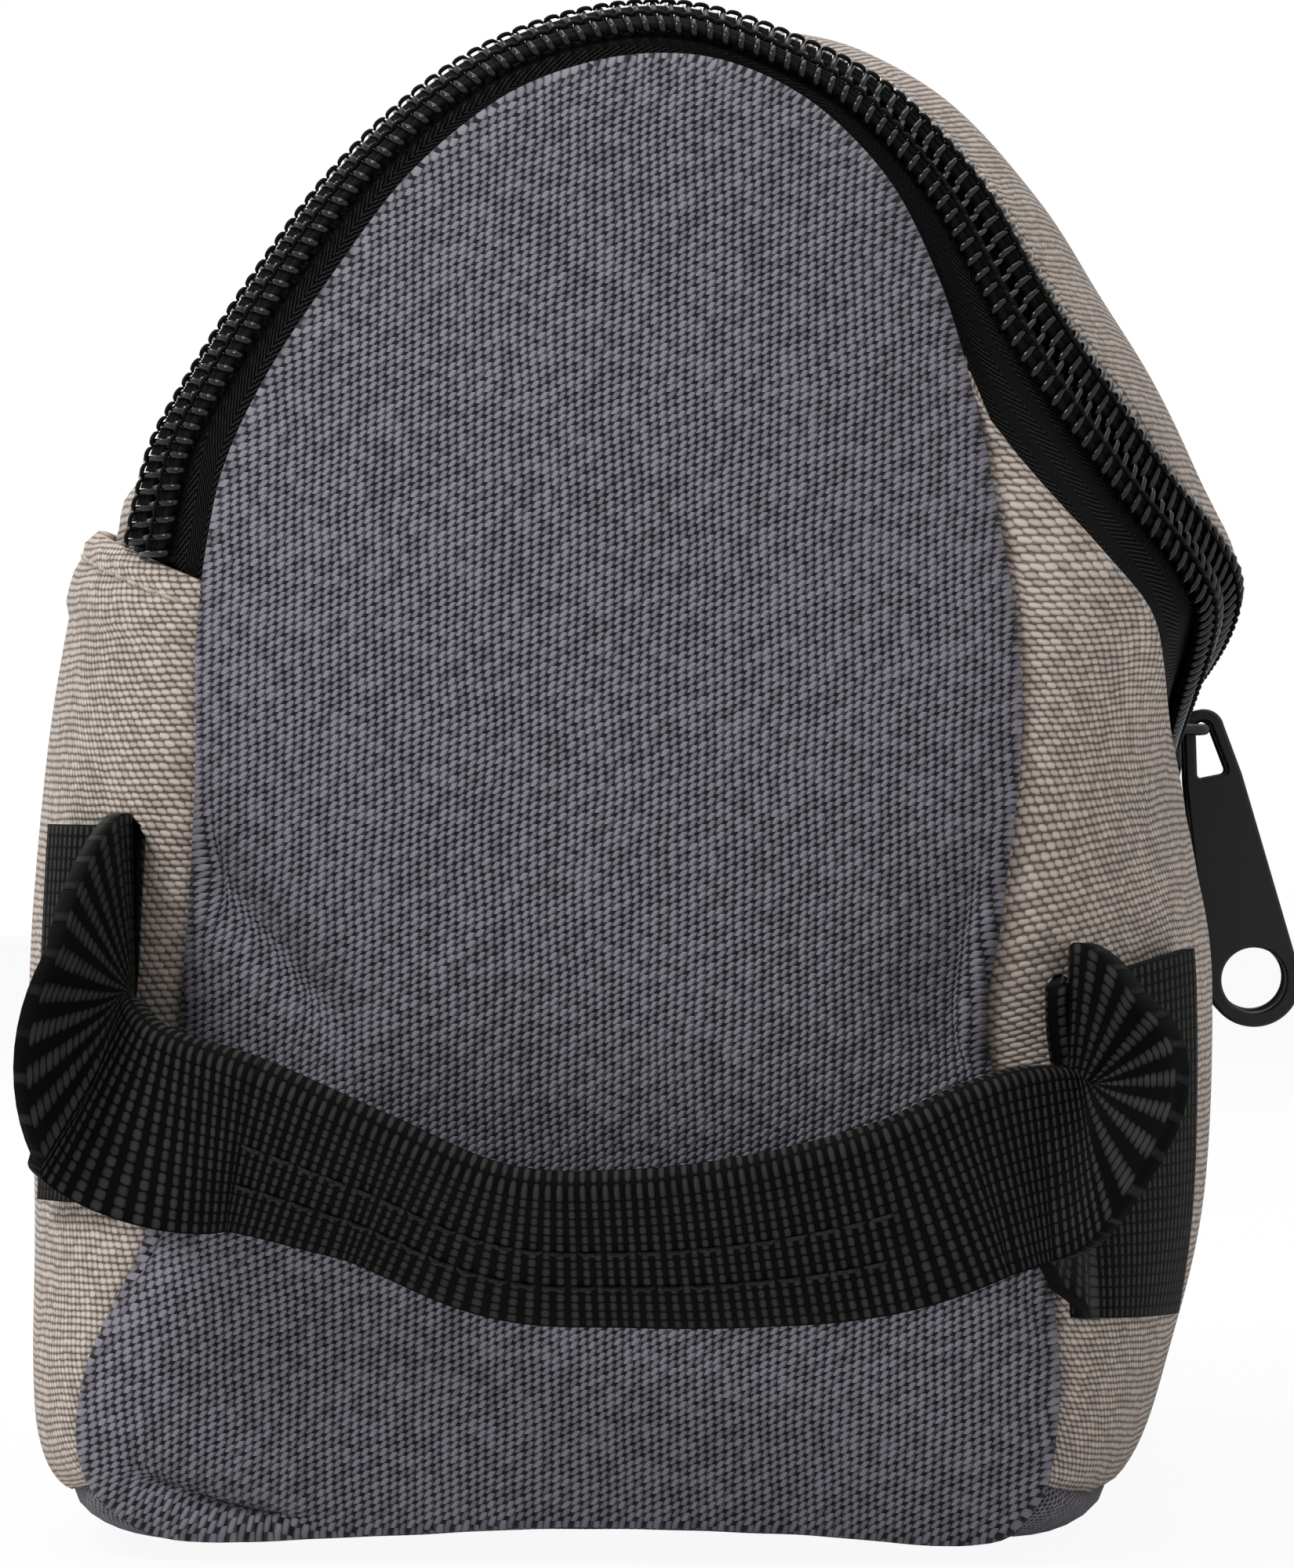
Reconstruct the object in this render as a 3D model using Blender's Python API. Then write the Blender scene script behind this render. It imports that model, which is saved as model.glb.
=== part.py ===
"""A soft toiletry bag: an arched box of woven fabric with a zipped lid and a webbing handle at one end.

The length runs along Y and the handle end faces -Y. The zip is at the front, +X, and the lid hinges
at the back, -X. The base lies on z = 0. All sizes are in metres.

The fabric is a loft between two unlike outlines: the seam round each end panel and the fuller section
at mid length. A place on it is (a, v): a runs along the middle outline, from the base centre up the
front, over the top and down the back, and v runs from the near end seam to the far one.
"""

import math

import bmesh
import bpy
import numpy as np
from mathutils import Matrix, Vector

# Driving sizes of the bag
BAG_LENGTH = 0.236
BAG_WIDTH = 0.1234
BAG_HEIGHT = 0.157
END_BULGE = 0.009
CORNER_DEPTH = 0.045
CORNER_ROUND = 0.014
BRIM_OUT = 0.0056
BRIM_SPREAD = 0.009
BRIM_START = 0.036
BRIM_RISE = 0.036
BULGE_POWER = 0.8

# Layers of the wall, from the outside in
FABRIC = 0.0012
TAPE = 0.0006
LINING = 0.0006
SEAM_GAP = 0.0003
LAYER_GAP = 0.0006

# Zip
CHAIN_FROM_SEAM = 0.0085
COIL_INNER = 0.0008
COIL_WIDTH = 0.0030
COIL_HEIGHT = 0.0022
COIL_LIFT = 0.0005
LID_EDGE = 0.0065
FRONT_EDGE = 0.0080
TAPE_TUCK = 0.0025
ZIP_CORNER_RUN = 0.080
ZIP_CORNER_DROP = 0.0474
HEM_DIP = 0.0065

# Lid hinge
HINGE_OUT = 0.0020
HINGE_DOWN = 0.0020

# Sliders and pullers
SLIDER_LENGTH = 0.0140
SLIDER_WIDTH = 0.0110
SLIDER_PLATE = 0.0009
SLIDER_CHAMFER = 0.0033
SLIDER_CLEARANCE = 0.0005
SLIDER_SPACING = 0.0160
POST_WIDTH = 0.0010
POST_LENGTH = 0.0040
POST_FROM_NOSE = 0.0028
CROWN_WIRE = 0.0012
CROWN_SPAN = 0.0086
PULLER_LENGTH = 0.0360
PULLER_THICKNESS = 0.0020
PULLER_LEG = 0.0014
PULLER_END_WIDTH = 0.0105
PULLER_HOLE = 0.0072
PULLER_SLOT_WIDTH = 0.0034
PULLER_SLOT_LENGTH = 0.0062
PULLER_SHOULDER_WIDTH = 0.0064
PULLER_SHOULDER_DROP = 0.0056
PULLER_CLEARANCE = 0.0004

# Handle
WEBBING_WIDTH = 0.038
WEBBING = 0.0015
FOLD_RADIUS = 0.0010
HANDLE_REACH = 0.023
GRIP_LEAN = 20.0
BACK_PATCH_HEIGHT = 0.054
FRONT_PATCH_HEIGHT = 0.0425
PATCH_LIFT = 0.0085
PATCH_STANDOFF = 0.0006
BACK_PATCH_LENGTH = 0.030
FRONT_PATCH_LENGTH = 0.019

# Lining
LINING_MARGIN = 0.0080
BINDING_WIDTH = 0.0048
BINDING = 0.0012

# The two outlines as drawn, one pair of points to a line: x and z at mid length, then x and z at the
# end seam. They are scaled to the width and the height.
OUTLINE = [
    (-6.0, 0.0, -6.0, 3.9),
    (16.0, 0.0, 16.0, 3.4),
    (35.0, 0.0, 34.0, 2.2),
    (46.0, 1.6, 39.8, 5.0),
    (51.5, 8.0, 41.8, 11.0),
    (54.8, 19.0, 42.2, 20.0),
    (58.2, 35.0, 40.2, 34.0),
    (59.8, 57.0, 35.2, 51.0),
    (58.0, 69.0, 36.6, 64.0),
    (55.6, 78.5, 38.2, 77.0),
    (55.2, 86.0, 38.6, 85.0),
    (55.5, 92.5, 38.3, 91.0),
    (57.2, 98.5, 37.5, 97.0),
    (58.2, 104.0, 36.2, 104.0),
    (57.2, 111.0, 34.8, 111.5),
    (53.6, 119.0, 32.8, 119.5),
    (47.7, 128.0, 30.0, 128.0),
    (41.0, 138.0, 25.4, 137.0),
    (31.0, 148.5, 18.4, 144.2),
    (18.0, 155.0, 10.6, 148.2),
    (4.0, 157.0, 3.2, 149.2),
    (-10.0, 155.0, -4.6, 148.0),
    (-22.0, 149.0, -12.4, 144.6),
    (-33.0, 139.0, -21.0, 137.4),
    (-41.5, 128.0, -28.6, 127.4),
    (-48.0, 118.0, -34.6, 118.4),
    (-53.0, 110.0, -38.8, 110.0),
    (-56.5, 103.5, -40.6, 103.0),
    (-60.0, 92.0, -42.0, 92.0),
    (-62.5, 78.0, -42.1, 78.0),
    (-63.6, 57.0, -43.4, 57.0),
    (-63.0, 35.0, -46.0, 35.0),
    (-62.5, 18.0, -52.8, 19.0),
    (-61.0, 8.0, -53.8, 10.0),
    (-56.0, 2.0, -50.5, 5.0),
    (-46.0, 0.0, -43.5, 2.4),
    (-26.0, 0.0, -26.0, 3.0),
]
# Landmarks, as places in the list above
FRONT_BASE_SEAM = 3.5
ZIP_LINE = 9.55
BRIM_LINE = 11.6
HEM_LINE = 27.0
BACK_BASE_SEAM = 33.5
END_CENTRE_HEIGHT = 0.46

# Colours, from the photographed bag
GREY_CANVAS = (0.125, 0.120, 0.140, 1.0)
BEIGE_CANVAS = (0.375, 0.315, 0.265, 1.0)
BLACK_TAPE = (0.012, 0.012, 0.013, 1.0)
BLACK_WEBBING = (0.014, 0.014, 0.015, 1.0)
BLACK_METAL = (0.020, 0.020, 0.021, 1.0)
LINING_GREY = (0.060, 0.060, 0.066, 1.0)


def clear_scene():
    for obj in list(bpy.data.objects):
        bpy.data.objects.remove(obj, do_unlink=True)
    for name in ("toiletry_bag", "cutters"):
        collection = bpy.data.collections.new(name)
        bpy.context.scene.collection.children.link(collection)
    bpy.data.collections["cutters"].hide_render = True


def material(name, colour, roughness, metallic=0.0):
    made = bpy.data.materials.new(name)
    made.use_nodes = True
    shader = made.node_tree.nodes["Principled BSDF"]
    shader.inputs["Base Color"].default_value = colour
    shader.inputs["Roughness"].default_value = roughness
    shader.inputs["Metallic"].default_value = metallic
    made.diffuse_color = colour
    return made


# Outlines and the surface lofted between them


def closed_curve(points, place):
    """A smooth closed curve through the points, read at places counted in points."""
    count = len(points)
    whole = np.floor(place).astype(int)
    t = (place - whole)[..., None]
    before, start, stop, after = (points[(whole + k) % count] for k in (-1, 0, 1, 2))
    return 0.5 * (
        2 * start
        + (stop - before) * t
        + (2 * before - 5 * start + 4 * stop - after) * t**2
        + (3 * start - before - 3 * stop + after) * t**3
    )


DRAWN = np.array(OUTLINE)
SCALE = np.array(
    [
        BAG_WIDTH / np.ptp(DRAWN[:, 0]),
        BAG_HEIGHT / np.ptp(DRAWN[:, 1]),
    ]
)
MIDDLE = DRAWN[:, 0:2] * SCALE
SEAM = DRAWN[:, 2:4] * SCALE

PLACES = np.linspace(0.0, len(OUTLINE), 40 * len(OUTLINE) + 1)


def middle_at(place):
    point = closed_curve(MIDDLE, place)
    point[..., 1] = np.maximum(point[..., 1], 0.0)
    return point


def seam_at(place):
    point = closed_curve(SEAM, place)
    point[..., 1] = np.maximum(point[..., 1], 0.0)
    return point


def running_length(points):
    steps = np.linalg.norm(np.diff(points, axis=0), axis=1)
    return np.concatenate([[0.0], np.cumsum(steps)])


GIRTHS = running_length(middle_at(PLACES))
GIRTH = GIRTHS[-1]


def girth_of(place):
    """The length a along the middle outline at a place in its list."""
    return float(np.interp(place, PLACES, GIRTHS))


def place_of(a):
    return np.interp(np.mod(a, GIRTH), GIRTHS, PLACES)


# The rounded corner at each end, measured along its own curve
TURNS = np.linspace(0.0, math.pi / 2, 181)
TURN_LENGTHS = running_length(
    np.stack([CORNER_ROUND * np.sin(TURNS), CORNER_DEPTH * (1 - np.cos(TURNS))], axis=1)
)
CORNER_LENGTH = TURN_LENGTHS[-1]
STRAIGHT = BAG_LENGTH - 2 * CORNER_DEPTH
SIDE_LENGTH = STRAIGHT + 2 * CORNER_LENGTH
HALF_LENGTH = BAG_LENGTH / 2


def fullness_and_depth(v):
    """How far the section has swelled from the end seam to the middle outline, and its y."""
    from_end = np.minimum(v, SIDE_LENGTH - v)
    turn = np.interp(from_end, TURN_LENGTHS, TURNS)
    depth = np.where(
        from_end < CORNER_LENGTH,
        CORNER_DEPTH * (1 - np.cos(turn)),
        CORNER_DEPTH + from_end - CORNER_LENGTH,
    )
    y = np.where(v < SIDE_LENGTH / 2, depth - HALF_LENGTH, HALF_LENGTH - depth)
    return np.sin(turn), y


def surface(a, v):
    """The outer face of the fabric."""
    a, v = np.broadcast_arrays(np.asarray(a, float), np.asarray(v, float))
    place = place_of(a)
    fullness, y = fullness_and_depth(v)
    end = seam_at(place)
    middle = middle_at(place)
    brim_height = middle_at(np.array(BRIM_LINE))[1]
    from_brim = (middle[..., 1] - brim_height) / BRIM_SPREAD
    near_corner = np.clip((np.abs(y) - BRIM_START) / BRIM_RISE, 0.0, 1.0)
    near_corner = near_corner**2 * (3 - 2 * near_corner)
    at_front = middle[..., 0] > 0
    middle[..., 0] += BRIM_OUT * near_corner * at_front * np.exp(-(from_brim**2))
    flat = end + (middle - end) * fullness[..., None]
    return np.stack([flat[..., 0], y, flat[..., 1]], axis=-1)


def outward(a, v):
    """The unit normal of the outer face."""
    step = 0.0002
    a, v = np.broadcast_arrays(np.asarray(a, float), np.asarray(v, float))
    before = np.maximum(v - step, 0.0)
    after = np.minimum(v + step, SIDE_LENGTH)
    along = surface(a, after) - surface(a, before)
    around = surface(a + step, v) - surface(a - step, v)
    normal = np.cross(along, around)
    normal = normal / np.linalg.norm(normal, axis=-1, keepdims=True)
    # At the seam every layer is stacked square to the end panel
    at_seam = np.minimum(v, SIDE_LENGTH - v) < 1.5 * SEAM_GAP
    end_way = np.where(v < SIDE_LENGTH / 2, -1.0, 1.0)
    square = np.stack([0 * end_way, end_way, 0 * end_way], axis=-1)
    return np.where(at_seam[..., None], square, normal)


def off_surface(a, v, offset):
    return surface(a, v) + outward(a, v) * np.asarray(offset)[..., None]


# Mesh helpers


def add_object(name, points, faces, look, origin=(0.0, 0.0, 0.0)):
    """An object whose mesh is given in the world and whose origin is at the point named."""
    mesh = bpy.data.meshes.new(name)
    mesh.from_pydata([tuple(np.asarray(p) - np.asarray(origin)) for p in points], [], faces)
    shaped = bmesh.new()
    shaped.from_mesh(mesh)
    bmesh.ops.recalc_face_normals(shaped, faces=shaped.faces)
    if shaped.calc_volume(signed=True) < 0:
        bmesh.ops.reverse_faces(shaped, faces=shaped.faces)
    shaped.to_mesh(mesh)
    shaped.free()
    mesh.shade_smooth()
    mesh.set_sharp_from_angle(angle=math.radians(40))
    mesh.materials.append(look)
    obj = bpy.data.objects.new(name, mesh)
    obj.location = origin
    bpy.data.collections["toiletry_bag"].objects.link(obj)
    return obj


def closed_slab(outer, inner, ring=False):
    """Points and faces of a thin solid between two grids of points, open or closed in a ring."""
    rows, columns = outer.shape[:2]
    points = np.concatenate([outer.reshape(-1, 3), inner.reshape(-1, 3)])
    layer = rows * columns

    def at(row, column, deep):
        return (row % rows) * columns + column + deep * layer

    faces = []
    for row in range(rows if ring else rows - 1):
        for column in range(columns - 1):
            for deep in (0, 1):
                corners = [
                    at(row, column, deep),
                    at(row, column + 1, deep),
                    at(row + 1, column + 1, deep),
                    at(row + 1, column, deep),
                ]
                faces.append(corners if deep == 0 else corners[::-1])
        for column in (0, columns - 1):
            faces.append(
                [
                    at(row, column, 0),
                    at(row + 1, column, 0),
                    at(row + 1, column, 1),
                    at(row, column, 1),
                ]
            )
    if not ring:
        for column in range(columns - 1):
            for row in (0, rows - 1):
                faces.append(
                    [
                        at(row, column, 0),
                        at(row, column + 1, 0),
                        at(row, column + 1, 1),
                        at(row, column, 1),
                    ]
                )
    return points, faces


def panel(name, a, v, top, bottom, look, origin=(0.0, 0.0, 0.0), ring=False):
    """A layer of the wall over a grid of places, between two offsets from the outer face."""
    points, faces = closed_slab(
        off_surface(a, v, np.broadcast_to(top, a.shape)),
        off_surface(a, v, np.broadcast_to(bottom, a.shape)),
        ring,
    )
    return add_object(name, points, faces, look, origin)


# Offsets of the layers from the outer face
TAPE_TOP = -(FABRIC + LAYER_GAP)
TAPE_BOTTOM = TAPE_TOP - TAPE
LINING_TOP = TAPE_BOTTOM - LAYER_GAP
LINING_BOTTOM = LINING_TOP - LINING
COIL_BOTTOM = TAPE_TOP + COIL_LIFT
COIL_TOP = COIL_BOTTOM + COIL_HEIGHT
COIL_OUTER = COIL_INNER + COIL_WIDTH

# Lengths along the outline of the zip line, the hem and the base seams
ZIP_A = girth_of(ZIP_LINE)
HEM_A = girth_of(HEM_LINE)
FRONT_BASE_A = girth_of(FRONT_BASE_SEAM)
BACK_BASE_A = girth_of(BACK_BASE_SEAM)


def spread_columns(first, last, count):
    """Places along the bag's length, closer together towards both ends."""
    t = np.linspace(0.0, math.pi, count)
    return first + (last - first) * (0.5 - 0.5 * np.cos(t))


def hem_at(v):
    """The hem of the back panel, which dips towards the end seams."""
    fullness, _ = fullness_and_depth(np.asarray(v, float))
    return HEM_A + HEM_DIP * (1 - fullness)


def corner_drop(v, start, run, drop):
    """How far a zip edge is above its front run, at v: a quarter ellipse at each end."""
    from_end = np.minimum(v, SIDE_LENGTH - v) - start
    t = np.clip(1 - from_end / run, 0.0, 1.0)
    return drop * (1 - np.sqrt(1 - t**2))


def front_edge(v):
    """The top edge of the front panel."""
    return ZIP_A - FRONT_EDGE + corner_drop(v, 0.0, ZIP_CORNER_RUN, ZIP_CORNER_DROP)


ARCH_STATIONS = 22
CORNER_STATIONS = 9
FRONT_STATIONS = 3
LID_COLUMNS = 13
HEM_ROWS = 6
FRONT_ROWS = 10
BACK_ROWS = 9
BOTTOM_ROWS = 13


def zip_curve(side, start, run, drop, hem_gap):
    """Places (a, v) along one edge of the zip, a U from hem to hem.

    side is the edge's distance from the front run's centre line, start its distance from the end
    seam, and run and drop are the half axes of its corner.
    """
    corner_a = ZIP_A + side + drop
    hem = hem_at(start) - hem_gap
    arch = np.linspace(hem, corner_a, ARCH_STATIONS, endpoint=False)
    turn = np.linspace(0.0, math.pi / 2, CORNER_STATIONS, endpoint=False)
    front = np.linspace(start + run, SIDE_LENGTH / 2, FRONT_STATIONS)
    a = np.concatenate(
        [
            arch,
            corner_a - drop * np.sin(turn),
            np.full(FRONT_STATIONS, ZIP_A + side),
        ]
    )
    v = np.concatenate(
        [
            np.full(ARCH_STATIONS, start),
            start + run * (1 - np.cos(turn)),
            front,
        ]
    )
    return (
        np.concatenate([a, a[-2::-1]]),
        np.concatenate([v, (SIDE_LENGTH - v)[-2::-1]]),
    )


def chain_curve(side):
    """Places along a line at a distance from the chain's centre, positive towards the lid."""
    start = CHAIN_FROM_SEAM + side
    return zip_curve(
        side, start, ZIP_CORNER_RUN - start, ZIP_CORNER_DROP - side, SEAM_GAP
    )


def strip(name, curves, top, bottom, look, origin=(0.0, 0.0, 0.0)):
    """A layer through a list of zip curves, side by side."""
    a = np.stack([curve[0] for curve in curves], axis=1)
    v = np.stack([curve[1] for curve in curves], axis=1)
    return panel(name, a, v, top, bottom, look, origin)


def rim_stations():
    """Lengths a round the end seam where every panel that meets it has a point."""
    low = BACK_BASE_A - GIRTH
    edge = float(front_edge(0.0))
    hem = float(hem_at(0.0))
    stretches = (
        (low, FRONT_BASE_A, BOTTOM_ROWS),
        (FRONT_BASE_A, edge, FRONT_ROWS),
        (edge, hem, ARCH_STATIONS),
        (hem, BACK_BASE_A, BACK_ROWS),
    )
    return np.concatenate([np.linspace(a, b, count)[:-1] for a, b, count in stretches])


def hinge_point():
    """A line just outside the hem, on which the lid turns."""
    hem = surface(HEM_A, SIDE_LENGTH / 2)
    return np.array([hem[0] - HINGE_OUT, 0.0, hem[2] - HINGE_DOWN])


# Fabric panels


def front_columns():
    """Places along the bag's length that follow the corners of the front panel's top edge."""
    turn = np.linspace(0.0, math.pi / 2, CORNER_STATIONS, endpoint=False)
    near = np.concatenate(
        [
            ZIP_CORNER_RUN * (1 - np.cos(turn)),
            np.linspace(ZIP_CORNER_RUN, SIDE_LENGTH / 2, FRONT_STATIONS),
        ]
    )
    columns = np.concatenate([near, (SIDE_LENGTH - near)[-2::-1]])
    return np.clip(columns, SEAM_GAP, SIDE_LENGTH - SEAM_GAP)


def front_panel(look):
    v = front_columns()
    low = FRONT_BASE_A + SEAM_GAP / 2
    high = front_edge(v) - SEAM_GAP
    t = np.linspace(0.0, 1.0, FRONT_ROWS)[:, None]
    return panel("front_panel", low + (high - low) * t, v + 0 * t, 0.0, -FABRIC, look)


def back_panel(look):
    v = spread_columns(SEAM_GAP, SIDE_LENGTH - SEAM_GAP, 21)
    low = BACK_BASE_A - SEAM_GAP / 2
    high = hem_at(v)
    t = np.linspace(0.0, 1.0, BACK_ROWS)[:, None]
    return panel("back_panel", high + (low - high) * t, v + 0 * t, 0.0, -FABRIC, look)


def bottom_panel(look):
    v = spread_columns(SEAM_GAP, SIDE_LENGTH - SEAM_GAP, 15)
    low = BACK_BASE_A + SEAM_GAP / 2 - GIRTH
    high = FRONT_BASE_A - SEAM_GAP / 2
    t = np.linspace(0.0, 1.0, BOTTOM_ROWS)[:, None]
    return panel("bottom_panel", low + (high - low) * t, v + 0 * t, 0.0, -FABRIC, look)


def lid_grid(side, hem_gap, columns):
    """Rows across the lid from its near edge to its far one, at each station of the zip's curve."""
    start = CHAIN_FROM_SEAM + side
    edge_a, edge_v = zip_curve(
        side, start, ZIP_CORNER_RUN - start, ZIP_CORNER_DROP - side, hem_gap
    )
    rows = ARCH_STATIONS + CORNER_STATIONS + 1
    near = edge_v[:rows, None]
    share = 0.5 - 0.5 * np.cos(np.linspace(0.0, math.pi, columns))[None, :]
    v = near + (SIDE_LENGTH - 2 * near) * share
    # The first rows follow the dip of the hem
    follow = np.clip(1 - np.arange(rows) / HEM_ROWS, 0.0, 1.0)[:, None]
    a = edge_a[:rows, None] + follow * (hem_at(v) - hem_at(start))
    return a, v


def lid_panel(look, origin):
    a, v = lid_grid(LID_EDGE, SEAM_GAP, LID_COLUMNS)
    return panel("lid_panel", a, v, 0.0, -FABRIC, look, origin)


# End panels, filled from the seam inwards


def rim_spokes():
    """The middle of an end panel, and the spokes from it to each station of its seam."""
    rim = seam_at(place_of(rim_stations()))
    centre = np.array([0.5 * (rim[:, 0].max() + rim[:, 0].min()), END_CENTRE_HEIGHT * BAG_HEIGHT])
    return centre, rim - centre


def end_cap(name, side, rings, inset, depths, look):
    """A bulging panel across one end. depths are the outer and inner offsets from the end plane."""
    centre, spokes = rim_spokes()
    reach = np.linalg.norm(spokes, axis=1, keepdims=True)
    spokes = spokes * (1 - inset / reach)
    bulge = END_BULGE * (1 - np.asarray(rings) ** 2) ** BULGE_POWER
    layers = []
    for depth in depths:
        points = []
        for ring, out in zip(rings, bulge):
            flat = centre + spokes * ring
            y = side * (HALF_LENGTH + out + depth)
            points.append(np.stack([flat[:, 0], np.full(len(flat), y), flat[:, 1]], axis=1))
        layers.append(np.stack(points, axis=1))
    outer, inner = layers
    points, faces = closed_slab(outer, inner, ring=True)
    count, deep = outer.shape[0], outer.shape[1]
    # The innermost ring is closed by one flat face on each layer, in place of its inner rim
    inner_column = deep - 1
    layer = count * deep
    rim_faces = {
        frozenset(
            [
                row * deep + inner_column,
                ((row + 1) % count) * deep + inner_column,
                ((row + 1) % count) * deep + inner_column + layer,
                row * deep + inner_column + layer,
            ]
        )
        for row in range(count)
    }
    faces = [face for face in faces if frozenset(face) not in rim_faces]
    for start in (0, layer):
        faces.append([start + row * deep + inner_column for row in range(count)])
    return add_object(name, points, faces, look)


def end_panels(look):
    rings = (1.0, 0.9, 0.72, 0.5, 0.25)
    end_cap("end_panel_near", -1, rings, SEAM_GAP / 2, (0.0, -FABRIC), look)
    end_cap("end_panel_far", 1, rings, SEAM_GAP / 2, (0.0, -FABRIC), look)


def end_linings(look):
    rings = (1.0, 0.72, 0.4)
    depths = (-FABRIC - SEAM_GAP, -FABRIC - SEAM_GAP - LINING)
    end_cap("end_lining_near", -1, rings, BINDING_WIDTH, depths, look)
    end_cap("end_lining_far", 1, rings, BINDING_WIDTH, depths, look)


def seam_bindings(look):
    """A tape over the raw edges, flat round the rim of each end lining."""
    centre, spokes = rim_spokes()
    reach = np.linalg.norm(spokes, axis=1, keepdims=True)
    insets = (BINDING_WIDTH, 2 * BINDING_WIDTH)
    flat = np.stack([centre + spokes * (1 - inset / reach) for inset in insets], axis=1)
    top = HALF_LENGTH - FABRIC - LINING - 2 * SEAM_GAP
    for name, side in (("seam_binding_near", -1), ("seam_binding_far", 1)):
        layers = [
            np.stack([flat[..., 0], np.full(flat.shape[:2], side * y), flat[..., 1]], axis=-1)
            for y in (top, top - BINDING)
        ]
        points, faces = closed_slab(*layers, ring=True)
        add_object(name, points, faces, look)


def body_lining(look):
    v = spread_columns(LINING_MARGIN, SIDE_LENGTH - LINING_MARGIN, 13)
    low = HEM_A + HEM_DIP + 2 * SEAM_GAP - GIRTH
    high = ZIP_A - FRONT_EDGE - TAPE_TUCK - SEAM_GAP
    t = np.linspace(0.0, 1.0, 21)[:, None]
    a = low + (high - low) * t + 0 * v
    panel("body_lining", a, v + 0 * t, LINING_TOP, LINING_BOTTOM, look)


def lid_lining(look, origin):
    a, v = lid_grid(LID_EDGE + TAPE_TUCK + SEAM_GAP, LINING_MARGIN, 7)
    panel("lid_lining", a, v, LINING_TOP, LINING_BOTTOM, look, origin)


# Zip


def zip_tapes(look, origin):
    tucked = zip_curve(
        -FRONT_EDGE - TAPE_TUCK,
        SEAM_GAP,
        ZIP_CORNER_RUN - SEAM_GAP,
        ZIP_CORNER_DROP,
        SEAM_GAP,
    )
    body_coil = chain_curve(-COIL_OUTER)
    halfway = ((tucked[0] + body_coil[0]) / 2, (tucked[1] + body_coil[1]) / 2)
    body_curves = (tucked, halfway, body_coil, chain_curve(-COIL_INNER))
    lid_curves = tuple(
        chain_curve(side) for side in (COIL_INNER, COIL_OUTER, LID_EDGE, LID_EDGE + TAPE_TUCK)
    )
    strip("zipper_tape_body", body_curves, TAPE_TOP, TAPE_BOTTOM, look)
    strip("zipper_tape_lid", lid_curves, TAPE_TOP, TAPE_BOTTOM, look, origin)


def zip_coils(look, origin):
    for name, near, far, place in (
        ("zipper_coil_body", -COIL_OUTER, -COIL_INNER, (0.0, 0.0, 0.0)),
        ("zipper_coil_lid", COIL_INNER, COIL_OUTER, origin),
    ):
        strip(name, (chain_curve(near), chain_curve(far)), COIL_TOP, COIL_BOTTOM, look, place)


def chain_frame(y):
    """The place of a slider on the chain: its matrix has X out of the wall and Y along the bag."""
    v = SIDE_LENGTH / 2 + y
    point = surface(ZIP_A, v)
    out = outward(ZIP_A, v)
    along = np.array([0.0, 1.0, 0.0])
    up = np.cross(out, along)
    turned = Matrix(np.stack([out, along, up], axis=1).tolist()).to_4x4()
    return Matrix.Translation(Vector(point)) @ turned


def block(name, low, high, bevel=0.0):
    """A box between two corners, in the frame of its owner."""
    bpy.ops.mesh.primitive_cube_add(size=1.0)
    obj = bpy.context.object
    obj.name = name
    low = Vector(low)
    high = Vector(high)
    obj.data.transform(Matrix.Diagonal((*(high - low), 1.0)))
    obj.data.transform(Matrix.Translation((low + high) / 2))
    if bevel:
        shaped = bmesh.new()
        shaped.from_mesh(obj.data)
        bmesh.ops.bevel(
            shaped,
            geom=[e for e in shaped.edges if abs((e.verts[0].co - e.verts[1].co).x) > bevel],
            offset=bevel,
            segments=2,
            affect="EDGES",
            profile=0.5,
        )
        shaped.to_mesh(obj.data)
        shaped.free()
    return obj


def round_bar(name, radius, length, centre):
    """A round bar along Y, in the frame of its owner."""
    bpy.ops.mesh.primitive_cylinder_add(vertices=12, radius=radius, depth=length)
    obj = bpy.context.object
    obj.name = name
    obj.data.transform(Matrix.Rotation(math.radians(90), 4, "X"))
    obj.data.transform(Matrix.Translation(Vector(centre)))
    return obj


def into(obj, collection):
    for old in list(obj.users_collection):
        old.objects.unlink(obj)
    bpy.data.collections[collection].objects.link(obj)


def joined(base, others):
    """The base with the others united to it by Boolean modifiers."""
    for other in others:
        into(other, "cutters")
        other.hide_render = True
        other.display_type = "WIRE"
        other.parent = base
        union = base.modifiers.new("join_" + other.name, "BOOLEAN")
        union.operation = "UNION"
        union.solver = "EXACT"
        union.object = other
    return base


PULLER_SLOT_TOP = CROWN_WIRE / 2 + SEAM_GAP
PULLER_NOSE = PULLER_SLOT_TOP + PULLER_LEG
CROWN_ABOVE_PLATE = PULLER_NOSE + PULLER_CLEARANCE
TOP_PLATE_IN = COIL_TOP + SLIDER_CLEARANCE
TOP_PLATE_OUT = TOP_PLATE_IN + SLIDER_PLATE
CROWN_OUT = TOP_PLATE_OUT + CROWN_ABOVE_PLATE


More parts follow.
